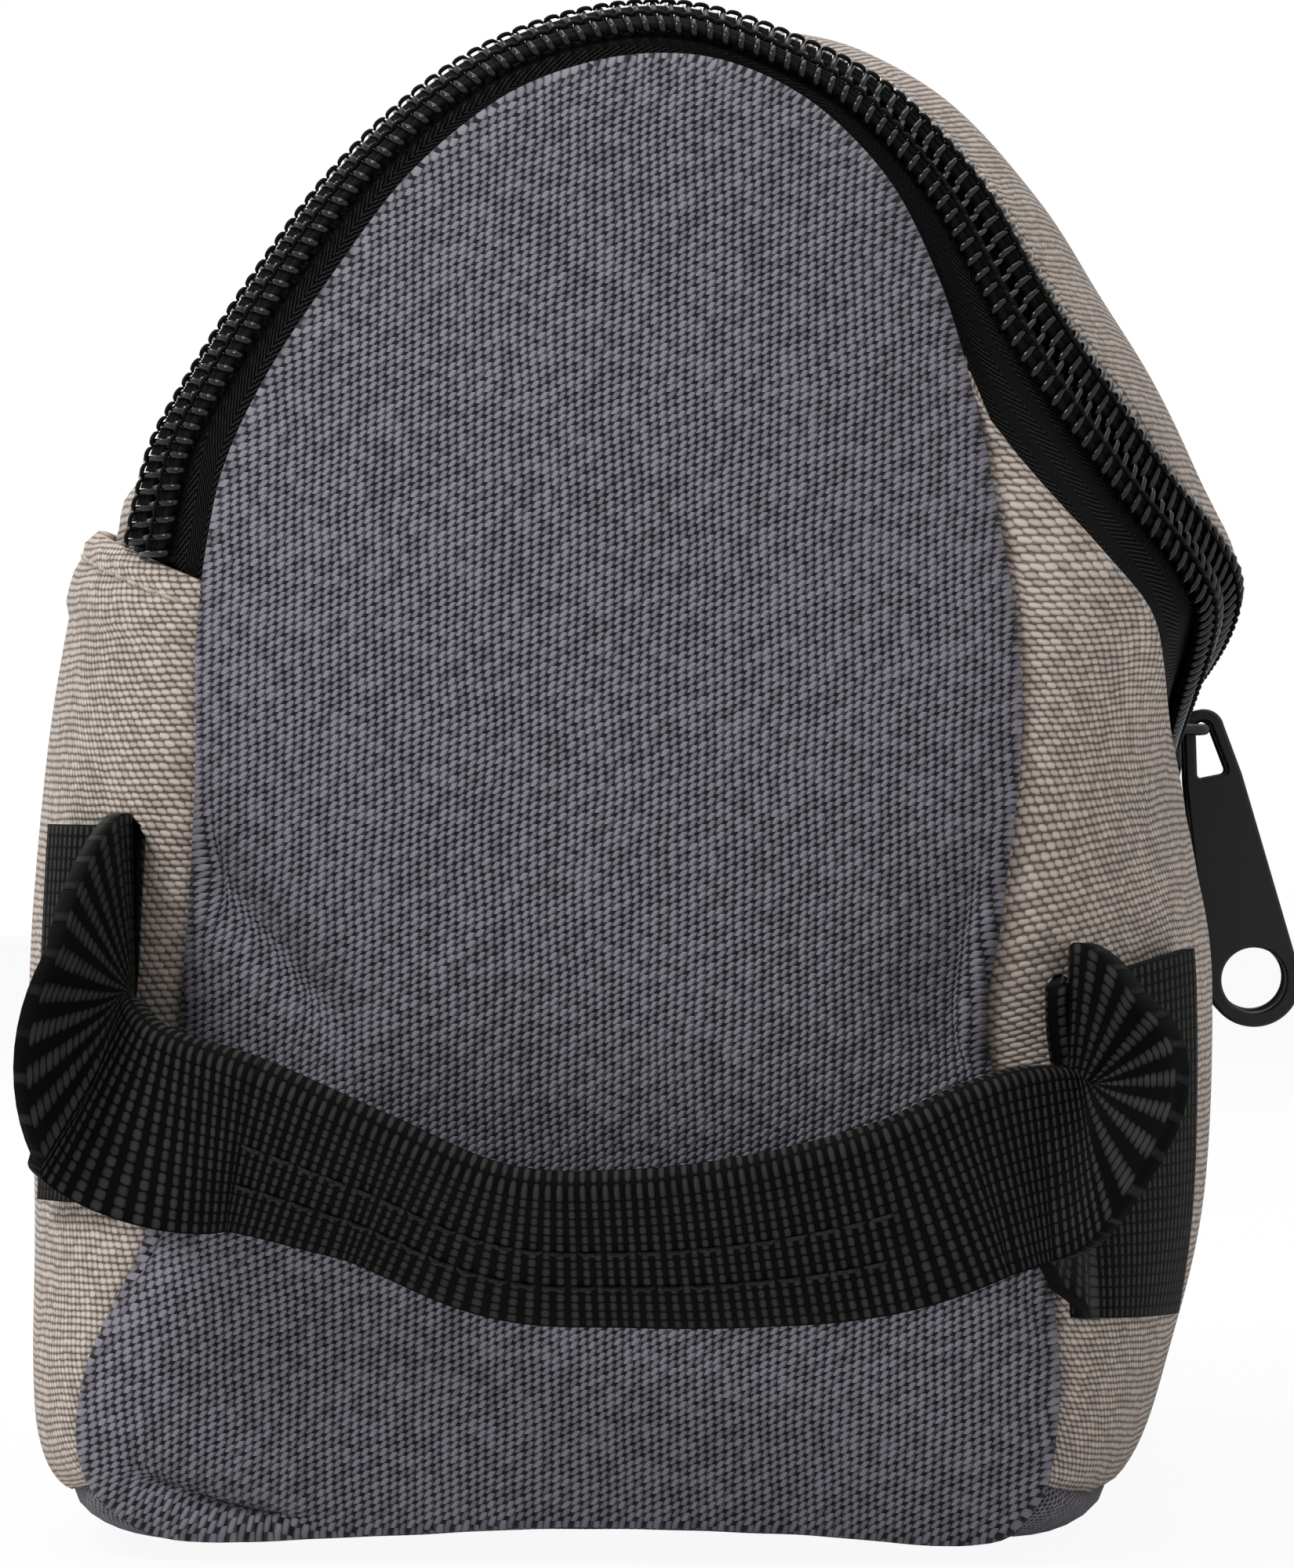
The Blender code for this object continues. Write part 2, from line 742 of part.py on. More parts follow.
def slider(name, y, nose, look):
    """A slider on the front run. nose is the sign of the way to its wide end."""
    half_length = SLIDER_LENGTH / 2
    half_width = SLIDER_WIDTH / 2
    base_out = TAPE_BOTTOM - SLIDER_CLEARANCE
    base_in = base_out - SLIDER_PLATE
    lip_low = -half_width
    lip_high = -(COIL_OUTER + SEAM_GAP)
    top = block(
        name,
        (TOP_PLATE_IN, -half_length, -half_width),
        (TOP_PLATE_OUT, half_length, half_width),
        SLIDER_CHAMFER,
    )
    top.data.materials.append(look)
    into(top, "toiletry_bag")
    base = block(
        name + "_base",
        (base_in, -half_length, -half_width),
        (base_out, half_length, half_width),
        SLIDER_CHAMFER,
    )
    post_y = nose * (half_length - POST_FROM_NOSE - POST_LENGTH / 2)
    post = block(
        name + "_post",
        (base_in + SLIDER_PLATE / 2, post_y - POST_LENGTH / 2, -POST_WIDTH / 2),
        (TOP_PLATE_OUT - SLIDER_PLATE / 2, post_y + POST_LENGTH / 2, POST_WIDTH / 2),
    )
    lip_run = half_length - SLIDER_CHAMFER
    top_lip = block(
        name + "_top_lip",
        (TAPE_TOP + SLIDER_CLEARANCE, -lip_run, lip_low),
        (TOP_PLATE_OUT - SLIDER_PLATE / 2, lip_run, lip_high),
    )
    base_lip = block(
        name + "_base_lip",
        (base_in + SLIDER_PLATE / 2, -lip_run, lip_low),
        (TAPE_BOTTOM - SLIDER_CLEARANCE / 2, lip_run, lip_high),
    )
    crown_half = CROWN_SPAN / 2
    wire = CROWN_WIRE / 2
    bar = round_bar(name + "_crown", wire, CROWN_SPAN, (CROWN_OUT, 0.0, 0.0))
    legs = [
        block(
            name + "_leg_" + end,
            (TOP_PLATE_OUT - SLIDER_PLATE / 2, low, -wire),
            (CROWN_OUT, high, wire),
        )
        for end, low, high in (
            ("near", -crown_half, -crown_half + CROWN_WIRE),
            ("far", crown_half - CROWN_WIRE, crown_half),
        )
    ]
    joined(top, [base, post, top_lip, base_lip, bar, *legs])
    top.matrix_world = chain_frame(y)
    return top


def arc(centre, radius, first, last, steps):
    """Points on an arc, from one angle in degrees to another."""
    turns = np.radians(np.linspace(first, last, steps))
    return [
        (centre[0] + radius * math.cos(t), centre[1] + radius * math.sin(t)) for t in turns
    ]


def puller_outline():
    """The puller's outline, slot and hole, hanging straight down with the crown bar at the origin."""
    end = (0.0, PULLER_NOSE - PULLER_LENGTH + PULLER_END_WIDTH / 2)
    shoulder = PULLER_SHOULDER_WIDTH / 2
    outline = (
        [(shoulder, -PULLER_SHOULDER_DROP)]
        + arc((0.0, 0.0), PULLER_NOSE, 0, 180, 9)
        + [(-shoulder, -PULLER_SHOULDER_DROP)]
        + arc(end, PULLER_END_WIDTH / 2, 180, 360, 13)
    )
    low = PULLER_SLOT_TOP - PULLER_SLOT_LENGTH
    wide = PULLER_SLOT_WIDTH / 2
    slot = (
        [(wide, low), (-wide, low), (-PULLER_SLOT_TOP, 0.0)]
        + arc((0.0, 0.0), PULLER_SLOT_TOP, 150, 30, 4)
        + [(PULLER_SLOT_TOP, 0.0)]
    )
    hole = arc(end, PULLER_HOLE / 2, 0, 340, 18)
    return outline, slot, hole


def puller(name, owner, y, look):
    """A flat pull tab that hangs on the slider's crown bar and rests on the front panel."""
    curve = bpy.data.curves.new(name, "CURVE")
    curve.dimensions = "2D"
    curve.fill_mode = "BOTH"
    curve.extrude = PULLER_THICKNESS / 2
    for outline in puller_outline():
        spline = curve.splines.new("POLY")
        spline.points.add(len(outline) - 1)
        for point, (x, z) in zip(spline.points, outline):
            point.co = (x, z, 0.0, 1.0)
        spline.use_cyclic_u = True
    curve.materials.append(look)
    obj = bpy.data.objects.new(name, curve)
    bpy.data.collections["toiletry_bag"].objects.link(obj)
    upright = Matrix.Rotation(math.radians(90), 4, "X")
    tilt = Matrix.Rotation(-math.radians(PULLER_TILT), 4, "Y")
    obj.matrix_world = Matrix.Translation(Vector(crown_point(y))) @ tilt @ upright
    world = obj.matrix_world.copy()
    obj.parent = owner
    obj.matrix_parent_inverse = owner.matrix_world.inverted()
    obj.matrix_world = world
    return obj


def crown_point(y):
    frame = chain_frame(y)
    return np.array(frame @ Vector((CROWN_OUT, 0.0, 0.0)))


def puller_tilt():
    """How far the puller leans out, in degrees, so that its inner edge just clears the front panel."""
    crown = crown_point(-SLIDER_SPACING / 2)
    face = surface(np.linspace(FRONT_BASE_A, ZIP_A - SLIDER_WIDTH / 2, 60), SIDE_LENGTH / 2)
    end = PULLER_LENGTH - PULLER_NOSE
    lean = 0.0
    for _ in range(400):
        turn = math.radians(lean)
        # Each point of the panel's face, in the puller's own frame
        across = (face[:, 0] - crown[0]) * math.cos(turn) + (face[:, 2] - crown[2]) * math.sin(turn)
        down = (face[:, 0] - crown[0]) * math.sin(turn) - (face[:, 2] - crown[2]) * math.cos(turn)
        beside = (down > 0) & (down < end)
        half = np.interp(
            down,
            [0.0, PULLER_SHOULDER_DROP, end - PULLER_END_WIDTH / 2, end],
            [PULLER_NOSE, PULLER_SHOULDER_WIDTH / 2, PULLER_END_WIDTH / 2, PULLER_END_WIDTH / 2],
        )
        if np.all(across[beside] < -half[beside] - SEAM_GAP):
            break
        lean += 0.1
    return lean


# Handle of folded webbing


def web_section(opening, columns):
    """The middle line of the folded webbing and its normals, as outward and downward parts.

    opening is the angle between the two halves, 180 degrees where the webbing is flat and 0 where the
    outer half hangs over the inner one. The fold is at the origin.
    """
    turn = math.radians(180.0 - opening)
    half = (WEBBING_WIDTH - FOLD_RADIUS * turn) / 2
    shares = np.linspace(0.0, 1.0, columns)
    inner = [(0.0, half * (1 - t), 0.0) for t in shares]
    arc = [
        (FOLD_RADIUS * (1 - math.cos(turn * t)), -FOLD_RADIUS * math.sin(turn * t), turn * t)
        for t in shares[1:]
    ]
    end_out, end_down, _ = arc[-1]
    outer = [
        (end_out + half * t * math.sin(turn), end_down - half * t * math.cos(turn), turn)
        for t in shares[1:]
    ]
    line = np.array(inner + arc + outer)
    normals = np.stack([np.cos(line[:, 2]), np.sin(line[:, 2])], axis=1)
    return line[:, :2], normals


def open_curve(points, place):
    """A smooth open curve through the points, read at places counted in points."""
    ends = np.concatenate([[2 * points[0] - points[1]], points, [2 * points[-1] - points[-2]]])
    whole = np.clip(np.floor(place).astype(int), 0, len(points) - 2)
    t = (place - whole)[..., None]
    before, start, stop, after = (ends[whole + k] for k in (0, 1, 2, 3))
    return 0.5 * (
        2 * start
        + (stop - before) * t
        + (2 * before - 5 * start + 4 * stop - after) * t**2
        + (3 * start - before - 3 * stop + after) * t**3
    )


def side_height(height, low_place, high_place):
    """The length a at a height above the base, between two places in the outline."""
    places = np.linspace(low_place, high_place, 400)
    heights = middle_at(places)[:, 1]
    order = np.argsort(heights)
    return girth_of(np.interp(height, heights[order], places[order]))


BACK_PATCH_A = side_height(BACK_PATCH_HEIGHT, HEM_LINE, BACK_BASE_SEAM)
FRONT_PATCH_A = side_height(FRONT_PATCH_HEIGHT, FRONT_BASE_SEAM, ZIP_LINE)
WEB_OFF = PATCH_STANDOFF + WEBBING / 2

# The free loop of the handle: a share of the way across, a share of its reach, a height above the
# straight line between the patches as a share of its reach, and the opening of the fold in degrees
LOOP = [
    (-0.005, 0.11, 0.087, 165.0),
    (0.000, 0.34, 0.130, 150.0),
    (0.030, 0.58, 0.148, 75.0),
    (0.072, 0.80, 0.100, 22.0),
    (0.166, 0.96, -0.052, 4.0),
    (0.291, 1.00, -0.274, 0.0),
    (0.415, 1.00, -0.391, 0.0),
    (0.540, 1.00, -0.313, 0.0),
    (0.665, 1.00, -0.191, 0.0),
    (0.790, 0.97, -0.004, 4.0),
    (0.882, 0.83, 0.243, 20.0),
    (0.929, 0.61, 0.270, 60.0),
    (0.970, 0.35, 0.226, 120.0),
    (0.995, 0.13, 0.109, 155.0),
]
LEFT_SPLIT = 3
RIGHT_SPLIT = 10


def loop_points():
    """The fold line of the free loop, and how far the fold is open along it."""
    left = off_surface(BACK_PATCH_A, PATCH_LIFT, WEB_OFF)
    right = off_surface(FRONT_PATCH_A, PATCH_LIFT, WEB_OFF)
    points = []
    for across, reach, rise, _ in LOOP:
        share = min(max(across, 0.0), 1.0)
        points.append(
            (
                left[0] + (right[0] - left[0]) * across,
                -HALF_LENGTH - HANDLE_REACH * reach,
                left[2] + (right[2] - left[2]) * share + HANDLE_REACH * rise,
            )
        )
    return np.array(points), np.array([row[3] for row in LOOP])


def loop_rows(places, columns, shifts=None):
    """Both faces of the webbing as rows of points across it, at places along the free loop."""
    points, openings = loop_points()
    axis = points[RIGHT_SPLIT] - points[LEFT_SPLIT]
    axis = axis / np.linalg.norm(axis)
    step = 0.02
    spots = open_curve(points, places)
    ahead = open_curve(points, np.minimum(places + step, len(points) - 1.0))
    behind = open_curve(points, np.maximum(places - step, 0.0))
    last = len(points) - 1.0
    faces = []
    for index, place in enumerate(places):
        tangent = ahead[index] - behind[index]
        # The webbing stands upright at the patches and leans by GRIP_LEAN along the grip
        lean = math.radians(GRIP_LEAN) * math.sin(math.pi * place / last)
        down = np.array([0.0, math.sin(lean), -math.cos(lean)])
        if place in (LEFT_SPLIT, RIGHT_SPLIT):
            tangent = axis
            down = down - axis * np.dot(down, axis)
            down = down / np.linalg.norm(down)
        out = np.cross(down, tangent)
        out = out / np.linalg.norm(out)
        opening = np.interp(place, np.arange(len(points)), openings)
        line, normals = web_section(opening, columns)
        spot = spots[index] + (axis * shifts[index] if shifts is not None else 0.0)
        faces.append(
            [
                spot + (line + side * normals) @ np.stack([out, down])
                for side in (WEBBING / 2, -WEBBING / 2)
            ]
        )
    faces = np.array(faces)
    return faces[:, 0], faces[:, 1]


def patch_rows(centre_a, lowwards, distances, columns):
    """Both faces of a webbing end that lies on the fabric, as rows of points across it."""
    across = np.linspace(0.5, -0.5, 3 * (columns - 1) + 1) * WEBBING_WIDTH * lowwards
    a = centre_a + across[None, :] + 0 * distances[:, None]
    v = distances[:, None] + 0 * across[None, :]
    return tuple(
        off_surface(a, v, np.full(a.shape, WEB_OFF + side)) for side in (WEBBING / 2, -WEBBING / 2)
    )


def webbing(name, stretches, look, origin=(0.0, 0.0, 0.0)):
    """Webbing through stretches of rows, each given by its two faces."""
    face = np.concatenate([stretch[0] for stretch in stretches])
    back = np.concatenate([stretch[1] for stretch in stretches])
    points, faces = closed_slab(face, back)
    return add_object(name, points, faces, look, origin)


def handle(look):
    columns = 4
    last = len(LOOP) - 1.0
    gap = SEAM_GAP / 2
    left_free = loop_rows(
        np.array([0.0, 1.0, 1.5, 2.0, 2.5, LEFT_SPLIT]), columns, [0, 0, 0, 0, 0, -gap]
    )
    right_free = loop_rows(
        np.array([RIGHT_SPLIT, 10.5, 11.0, 11.5, 12.0, last]), columns, [gap, 0, 0, 0, 0, 0]
    )
    grip_places = np.array([LEFT_SPLIT, 3.5, 4.0, 4.5, 5.0, 6.0, 7.0, 8.0, 9.0, 9.5, RIGHT_SPLIT])
    grip = loop_rows(grip_places, columns, [gap, *[0] * 9, -gap])
    left_distances = PATCH_LIFT + BACK_PATCH_LENGTH * np.linspace(1.0, 0.0, 7)
    right_distances = PATCH_LIFT + FRONT_PATCH_LENGTH * np.linspace(0.0, 1.0, 5)
    left_patch = patch_rows(BACK_PATCH_A, 1.0, left_distances, columns)
    right_patch = patch_rows(FRONT_PATCH_A, -1.0, right_distances, columns)
    points, _ = loop_points()
    webbing("handle_left_anchor", (left_patch, left_free), look)
    webbing("handle_right_anchor", (right_free, right_patch), look)
    webbing("handle_grip", (grip,), look, origin=tuple(points[LEFT_SPLIT]))


PULLER_TILT = puller_tilt()


def build():
    clear_scene()
    grey = material("grey_canvas", GREY_CANVAS, 0.85)
    beige = material("beige_canvas", BEIGE_CANVAS, 0.85)
    tape = material("black_tape", BLACK_TAPE, 0.75)
    coil = material("black_coil", BLACK_TAPE, 0.30)
    webbing_black = material("black_webbing", BLACK_WEBBING, 0.70)
    metal = material("black_metal", BLACK_METAL, 0.35)
    lining = material("lining", LINING_GREY, 0.80)

    hinge = tuple(hinge_point())
    front_panel(beige)
    back_panel(beige)
    bottom_panel(grey)
    end_panels(grey)
    lid_panel(beige, hinge)
    zip_tapes(tape, hinge)
    zip_coils(coil, hinge)
    body_lining(lining)
    end_linings(lining)
    lid_lining(lining, hinge)
    seam_bindings(tape)
    for name, side in (("near", -1), ("far", 1)):
        y = side * SLIDER_SPACING / 2
        owner = slider("slider_" + name, y, -side, metal)
        puller("puller_" + name, owner, y, metal)
    handle(webbing_black)


build()
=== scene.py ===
import math

import bpy
import numpy as np
from mathutils import Matrix, Vector


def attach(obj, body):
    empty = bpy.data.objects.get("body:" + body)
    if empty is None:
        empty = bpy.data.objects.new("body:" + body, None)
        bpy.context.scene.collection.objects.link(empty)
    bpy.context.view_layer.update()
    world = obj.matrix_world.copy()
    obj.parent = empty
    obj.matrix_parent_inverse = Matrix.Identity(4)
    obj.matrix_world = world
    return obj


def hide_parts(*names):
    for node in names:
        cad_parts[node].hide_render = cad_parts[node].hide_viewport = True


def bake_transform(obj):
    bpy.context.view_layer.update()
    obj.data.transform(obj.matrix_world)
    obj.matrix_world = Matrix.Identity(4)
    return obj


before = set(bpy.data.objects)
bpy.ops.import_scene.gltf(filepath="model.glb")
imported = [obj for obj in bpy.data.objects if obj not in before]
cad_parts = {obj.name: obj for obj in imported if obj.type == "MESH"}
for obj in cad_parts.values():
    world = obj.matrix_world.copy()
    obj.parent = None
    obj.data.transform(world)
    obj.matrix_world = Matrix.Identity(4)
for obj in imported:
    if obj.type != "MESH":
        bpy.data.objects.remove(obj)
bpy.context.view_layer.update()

# A soft toiletry bag. Its cloth is a loft between two outlines, and a place on it is (a, v): a runs
# along the middle outline from the base centre up the front and over the top, and v runs from the
# near end seam to the far one. All sizes are in metres, and offsets are square to the cloth.

MM = 0.001

# Sizes that the frame has
BAG_LENGTH = 0.236
BAG_WIDTH = 0.1234
BAG_HEIGHT = 0.157
END_BULGE = 0.009
BULGE_POWER = 0.8
CORNER_DEPTH = 0.045
CORNER_ROUND = 0.014
BRIM_OUT = 0.0056
BRIM_SPREAD = 0.009
BRIM_START = 0.036
BRIM_RISE = 0.036
END_CENTRE_HEIGHT = 0.46
FABRIC = 0.0012
CHAIN_FROM_SEAM = 0.0085
LID_EDGE = 0.0078
FRONT_EDGE = 0.0080
ZIP_CORNER_RUN = 0.080
ZIP_CORNER_DROP = 0.0474
HEM_DIP = 0.0065
SEAM_GAP = 0.0003

# The two outlines in millimetres: x and z at mid length, then x and z at the end seam
OUTLINE = [
    (-6.0, 0.0, -6.0, 3.9),
    (16.0, 0.0, 16.0, 3.4),
    (35.0, 0.0, 34.0, 2.2),
    (46.0, 1.6, 39.8, 5.0),
    (51.5, 8.0, 41.8, 11.0),
    (54.8, 19.0, 42.2, 20.0),
    (58.2, 35.0, 40.2, 34.0),
    (59.8, 57.0, 35.2, 51.0),
    (58.0, 69.0, 36.6, 64.0),
    (55.6, 78.5, 38.2, 77.0),
    (55.2, 86.0, 38.6, 85.0),
    (55.5, 92.5, 38.3, 91.0),
    (57.2, 98.5, 37.5, 97.0),
    (58.2, 104.0, 36.2, 104.0),
    (57.2, 111.0, 34.8, 111.5),
    (53.6, 119.0, 32.8, 119.5),
    (47.7, 128.0, 30.0, 128.0),
    (41.0, 138.0, 25.4, 137.0),
    (31.0, 148.5, 18.4, 144.2),
    (18.0, 155.0, 10.6, 148.2),
    (4.0, 157.0, 3.2, 149.2),
    (-10.0, 155.0, -4.6, 148.0),
    (-22.0, 149.0, -12.4, 144.6),
    (-33.0, 139.0, -21.0, 137.4),
    (-41.5, 128.0, -28.6, 127.4),
    (-48.0, 118.0, -34.6, 118.4),
    (-53.0, 110.0, -38.8, 110.0),
    (-56.5, 103.5, -40.6, 103.0),
    (-60.0, 92.0, -42.0, 92.0),
    (-62.5, 78.0, -42.1, 78.0),
    (-63.6, 57.0, -43.4, 57.0),
    (-63.0, 35.0, -46.0, 35.0),
    (-62.5, 18.0, -52.8, 19.0),
    (-61.0, 8.0, -53.8, 10.0),
    (-56.0, 2.0, -50.5, 5.0),
    (-46.0, 0.0, -43.5, 2.4),
    (-26.0, 0.0, -26.0, 3.0),
]
FRONT_BASE_SEAM = 3.5
ZIP_LINE = 9.55
BRIM_LINE = 11.6
HEM_LINE = 27.0
BACK_BASE_SEAM = 33.5


# Smooth steps and curves


def smooth_step(distance, reach=1.0):
    """From 0 to 1 as the distance goes from 0 to the reach."""
    t = np.clip(distance / reach, 0.0, 1.0)
    return t * t * (3 - 2 * t)


def fading(distance, reach):
    """1 at no distance, and less the further from it."""
    return np.exp(-distance / reach)


def bell(distance, width):
    """1 at no distance, and less on both sides of it."""
    return np.exp(-((distance / width) ** 2))


def unit(vectors):
    return vectors / np.linalg.norm(vectors, axis=-1, keepdims=True)


def through(before, start, stop, after, t):
    """A point between start and stop, on the smooth curve through all four."""
    return 0.5 * (
        2 * start
        + (stop - before) * t
        + (2 * before - 5 * start + 4 * stop - after) * t**2
        + (3 * start - before - 3 * stop + after) * t**3
    )


def closed_curve(points, place):
    """A smooth closed curve through the points, read at places counted in points."""
    whole = np.floor(place).astype(int)
    four = [points[(whole + k) % len(points)] for k in (-1, 0, 1, 2)]
    return through(*four, (place - whole)[..., None])


def open_curve(points, place):
    """A smooth curve from the first point to the last, read at places counted in points."""
    ends = np.concatenate([[2 * points[0] - points[1]], points, [2 * points[-1] - points[-2]]])
    whole = np.clip(np.floor(place).astype(int), 0, len(points) - 2)
    four = [ends[whole + k] for k in (0, 1, 2, 3)]
    return through(*four, (place - whole)[..., None])


def running_length(points):
    """How far along the path through the points each of them is."""
    steps = np.linalg.norm(np.diff(points, axis=0), axis=1)
    return np.concatenate([[0.0], np.cumsum(steps)])


def shares(count):
    """Evenly spaced shares from 0 to 1."""
    return np.linspace(0.0, 1.0, count)


def read_along(spots, run, values):
    """Points or vectors at spots along a path, from those at its running lengths."""
    return np.stack([np.interp(spots, run, values[:, k]) for k in range(3)], axis=1)


def crowded_ends(count):
    """Shares from 0 to 1 that lie closer together at both ends."""
    t = shares(count)
    return t - 0.10 * np.sin(2 * math.pi * t) / math.pi


# The loft

DRAWN = np.array(OUTLINE)
SCALE = np.array([BAG_WIDTH / np.ptp(DRAWN[:, 0]), BAG_HEIGHT / np.ptp(DRAWN[:, 1])])
MIDDLE = DRAWN[:, 0:2] * SCALE
SEAM = DRAWN[:, 2:4] * SCALE
PLACES = np.linspace(0.0, len(OUTLINE), 40 * len(OUTLINE) + 1)


def outline_at(points, place):
    point = closed_curve(points, place)
    point[..., 1] = np.maximum(point[..., 1], 0.0)
    return point


GIRTHS = running_length(outline_at(MIDDLE, PLACES))
GIRTH = GIRTHS[-1]
BRIM_HEIGHT = outline_at(MIDDLE, np.array(BRIM_LINE))[1]


def girth_of(place):
    """The a of a place that is counted in points of the outline."""
    return float(np.interp(place, PLACES, GIRTHS))


def place_of(a):
    return np.interp(np.mod(a, GIRTH), GIRTHS, PLACES)


TURNS = np.linspace(0.0, math.pi / 2, 181)
CORNER_TURN = [CORNER_ROUND * np.sin(TURNS), CORNER_DEPTH * (1 - np.cos(TURNS))]
TURN_LENGTHS = running_length(np.stack(CORNER_TURN, axis=1))
CORNER_LENGTH = TURN_LENGTHS[-1]
SIDE_LENGTH = BAG_LENGTH - 2 * CORNER_DEPTH + 2 * CORNER_LENGTH
HALF_LENGTH = BAG_LENGTH / 2
MID = SIDE_LENGTH / 2

ZIP_A = girth_of(ZIP_LINE)
HEM_A = girth_of(HEM_LINE)
FRONT_BASE_A = girth_of(FRONT_BASE_SEAM)
BACK_BASE_A = girth_of(BACK_BASE_SEAM)


def end_distance(v):
    """How far a place is from the nearer end seam."""
    return np.minimum(v, SIDE_LENGTH - v)


def fullness_and_depth(v):
    """How far the section has swelled from the end seam to the middle outline, and its y."""
    from_end = end_distance(v)
    turn = np.interp(from_end, TURN_LENGTHS, TURNS)
    in_corner = CORNER_DEPTH * (1 - np.cos(turn))
    depth = np.where(from_end < CORNER_LENGTH, in_corner, CORNER_DEPTH + from_end - CORNER_LENGTH)
    return np.sin(turn), np.where(v < MID, depth - HALF_LENGTH, HALF_LENGTH - depth)


# Places over which the arch is drawn in behind the coil, and how much of it at each
DRAWN_IN_PLACES = (18.6, 20.2, 25.6, 26.3, 27.4)
DRAWN_IN_SHARES = (0.0, 1.0, 1.0, 0.5, 0.0)
RIDGE = 2.2 * MM
RIDGE_FROM_END = 8.0 * MM
HOLLOW = 3.5 * MM
HOLLOW_FROM_END = 38.0 * MM


def drawn_in(place, v):
    """The zip stands up near each end seam on the arch, and the lid sinks beyond it."""
    from_end = end_distance(v)
    ridge = RIDGE * bell(from_end - RIDGE_FROM_END, 4.0 * MM)
    hollow = HOLLOW * bell(from_end - HOLLOW_FROM_END, 24.0 * MM)
    share = smooth_step(np.interp(place, DRAWN_IN_PLACES, DRAWN_IN_SHARES))
    return share * np.clip(from_end / (4.0 * MM), 0.0, 1.0) * (ridge - hollow)


def surface(a, v, drawn=True):
    """The outer face of the cloth, without its folds."""
    a, v = np.broadcast_arrays(np.asarray(a, float), np.asarray(v, float))
    place = place_of(a)
    fullness, y = fullness_and_depth(v)
    end = outline_at(SEAM, place)
    middle = outline_at(MIDDLE, place)
    brim = bell(middle[..., 1] - BRIM_HEIGHT, BRIM_SPREAD) * (middle[..., 0] > 0)
    middle[..., 0] += BRIM_OUT * smooth_step(np.abs(y) - BRIM_START, BRIM_RISE) * brim
    swell = middle - end
    if drawn:
        reach = np.maximum(np.linalg.norm(swell, axis=-1), 1.0 * MM)
        fullness = fullness + drawn_in(place, v) / reach
    flat = end + swell * fullness[..., None]
    return np.stack([flat[..., 0], y, flat[..., 1]], axis=-1)


def outward(a, v, drawn=True):
    """The unit normal of the outer face."""
    step = 0.3 * MM
    a, v = np.broadcast_arrays(np.asarray(a, float), np.asarray(v, float))
    after = surface(a, np.minimum(v + step, SIDE_LENGTH), drawn)
    along = after - surface(a, np.maximum(v - step, 0.0), drawn)
    around = surface(a + step, v, drawn) - surface(a - step, v, drawn)
    return unit(np.cross(along, around))


def lifted(a, v, offset):
    """Points at offsets outwards from places on the loft."""
    a, v, offset = np.broadcast_arrays(a, v, offset)
    return surface(a, v) + outward(a, v) * offset[..., None]


def hem_at(v):
    """The a at which the back panel's folded hem ends."""
    fullness, _ = fullness_and_depth(np.asarray(v, float))
    return HEM_A + HEM_DIP * (1 - fullness)


def quarter_fall(share):
    """How far a quarter circle has fallen at a share of its run."""
    return 1 - np.sqrt(1 - share**2)


def front_edge(v):
    """The top edge of the front panel, which falls round the zip's corners."""
    share = np.clip(1 - end_distance(v) / ZIP_CORNER_RUN, 0.0, 1.0)
    return ZIP_A - FRONT_EDGE + ZIP_CORNER_DROP * quarter_fall(share)


def waves(across, along):
    """Slow folds of a filled soft bag, from about -1 to 1. Their lengths were chosen."""
    x = across / MM
    y = along / MM
    return (
        0.42 * np.sin(x / 13.0 + 1.1 + 0.8 * np.sin(y / 31.0)) * np.sin(y / 27.0 + 0.4)
        + 0.33 * np.sin(x / 8.3 - y / 21.0 + 2.3) * np.sin(y / 17.0 + x / 60.0)
        + 0.25 * np.sin(y / 9.5 + x / 15.0 + 0.9) * np.sin(x / 24.0 + 1.9)
    )


def pucker(along, from_seam, reach=7.0 * MM):
    """Short ripples square to a seam, which die out away from it."""
    y = along / MM
    ripple = 0.55 * np.sin(y / 1.45 + 1.7 * np.sin(y / 19.0)) + 0.45 * np.sin(y / 2.6 + 0.8)
    return ripple * fading(np.abs(from_seam), reach)


# Meshes


def linked(name, data):
    """A new object in the scene."""
    obj = bpy.data.objects.new(name, data)
    bpy.context.scene.collection.objects.link(obj)
    return obj


def piece_from(name, points, faces, look, flat=None, body=None, replaces=()):
    """A smooth object. flat holds each point's place on the uncreased cloth, in metres."""
    mesh = bpy.data.meshes.new(name)
    mesh.from_pydata(points.reshape(-1, 3).tolist(), [], faces)
    if flat is not None:
        layer = mesh.uv_layers.new(name="cloth")
        corners = np.empty(len(mesh.loops), dtype=np.int32)
        mesh.loops.foreach_get("vertex_index", corners)
        layer.data.foreach_set("uv", flat.reshape(-1, 2)[corners].astype(np.float32).ravel())
    mesh.shade_smooth()
    mesh.materials.append(look)
    obj = linked(name, mesh)
    if body:
        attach(obj, body)
    if replaces:
        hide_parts(*replaces)
    return obj


def grid_faces(rows, columns, ring=False, flipped=False):
    """Quads over a grid of points, whose last row joins the first in a ring."""
    index = np.arange(rows * columns).reshape(rows, columns)
    after = np.roll(index, -1, axis=0) if ring else index[1:]
    here = index if ring else index[:-1]
    quads = np.stack([here[:, :-1], here[:, 1:], after[:, 1:], after[:, :-1]], axis=-1)
    faces = quads.reshape(-1, 4).tolist()
    return [face[::-1] for face in faces] if flipped else faces


def thicken(obj, thickness, side=-1.0):
    """Gives a sheet its thickness, on the inner side unless side is 0 for both."""
    solid = obj.modifiers.new("thickness", "SOLIDIFY")
    solid.thickness = thickness
    solid.offset = side
    return obj


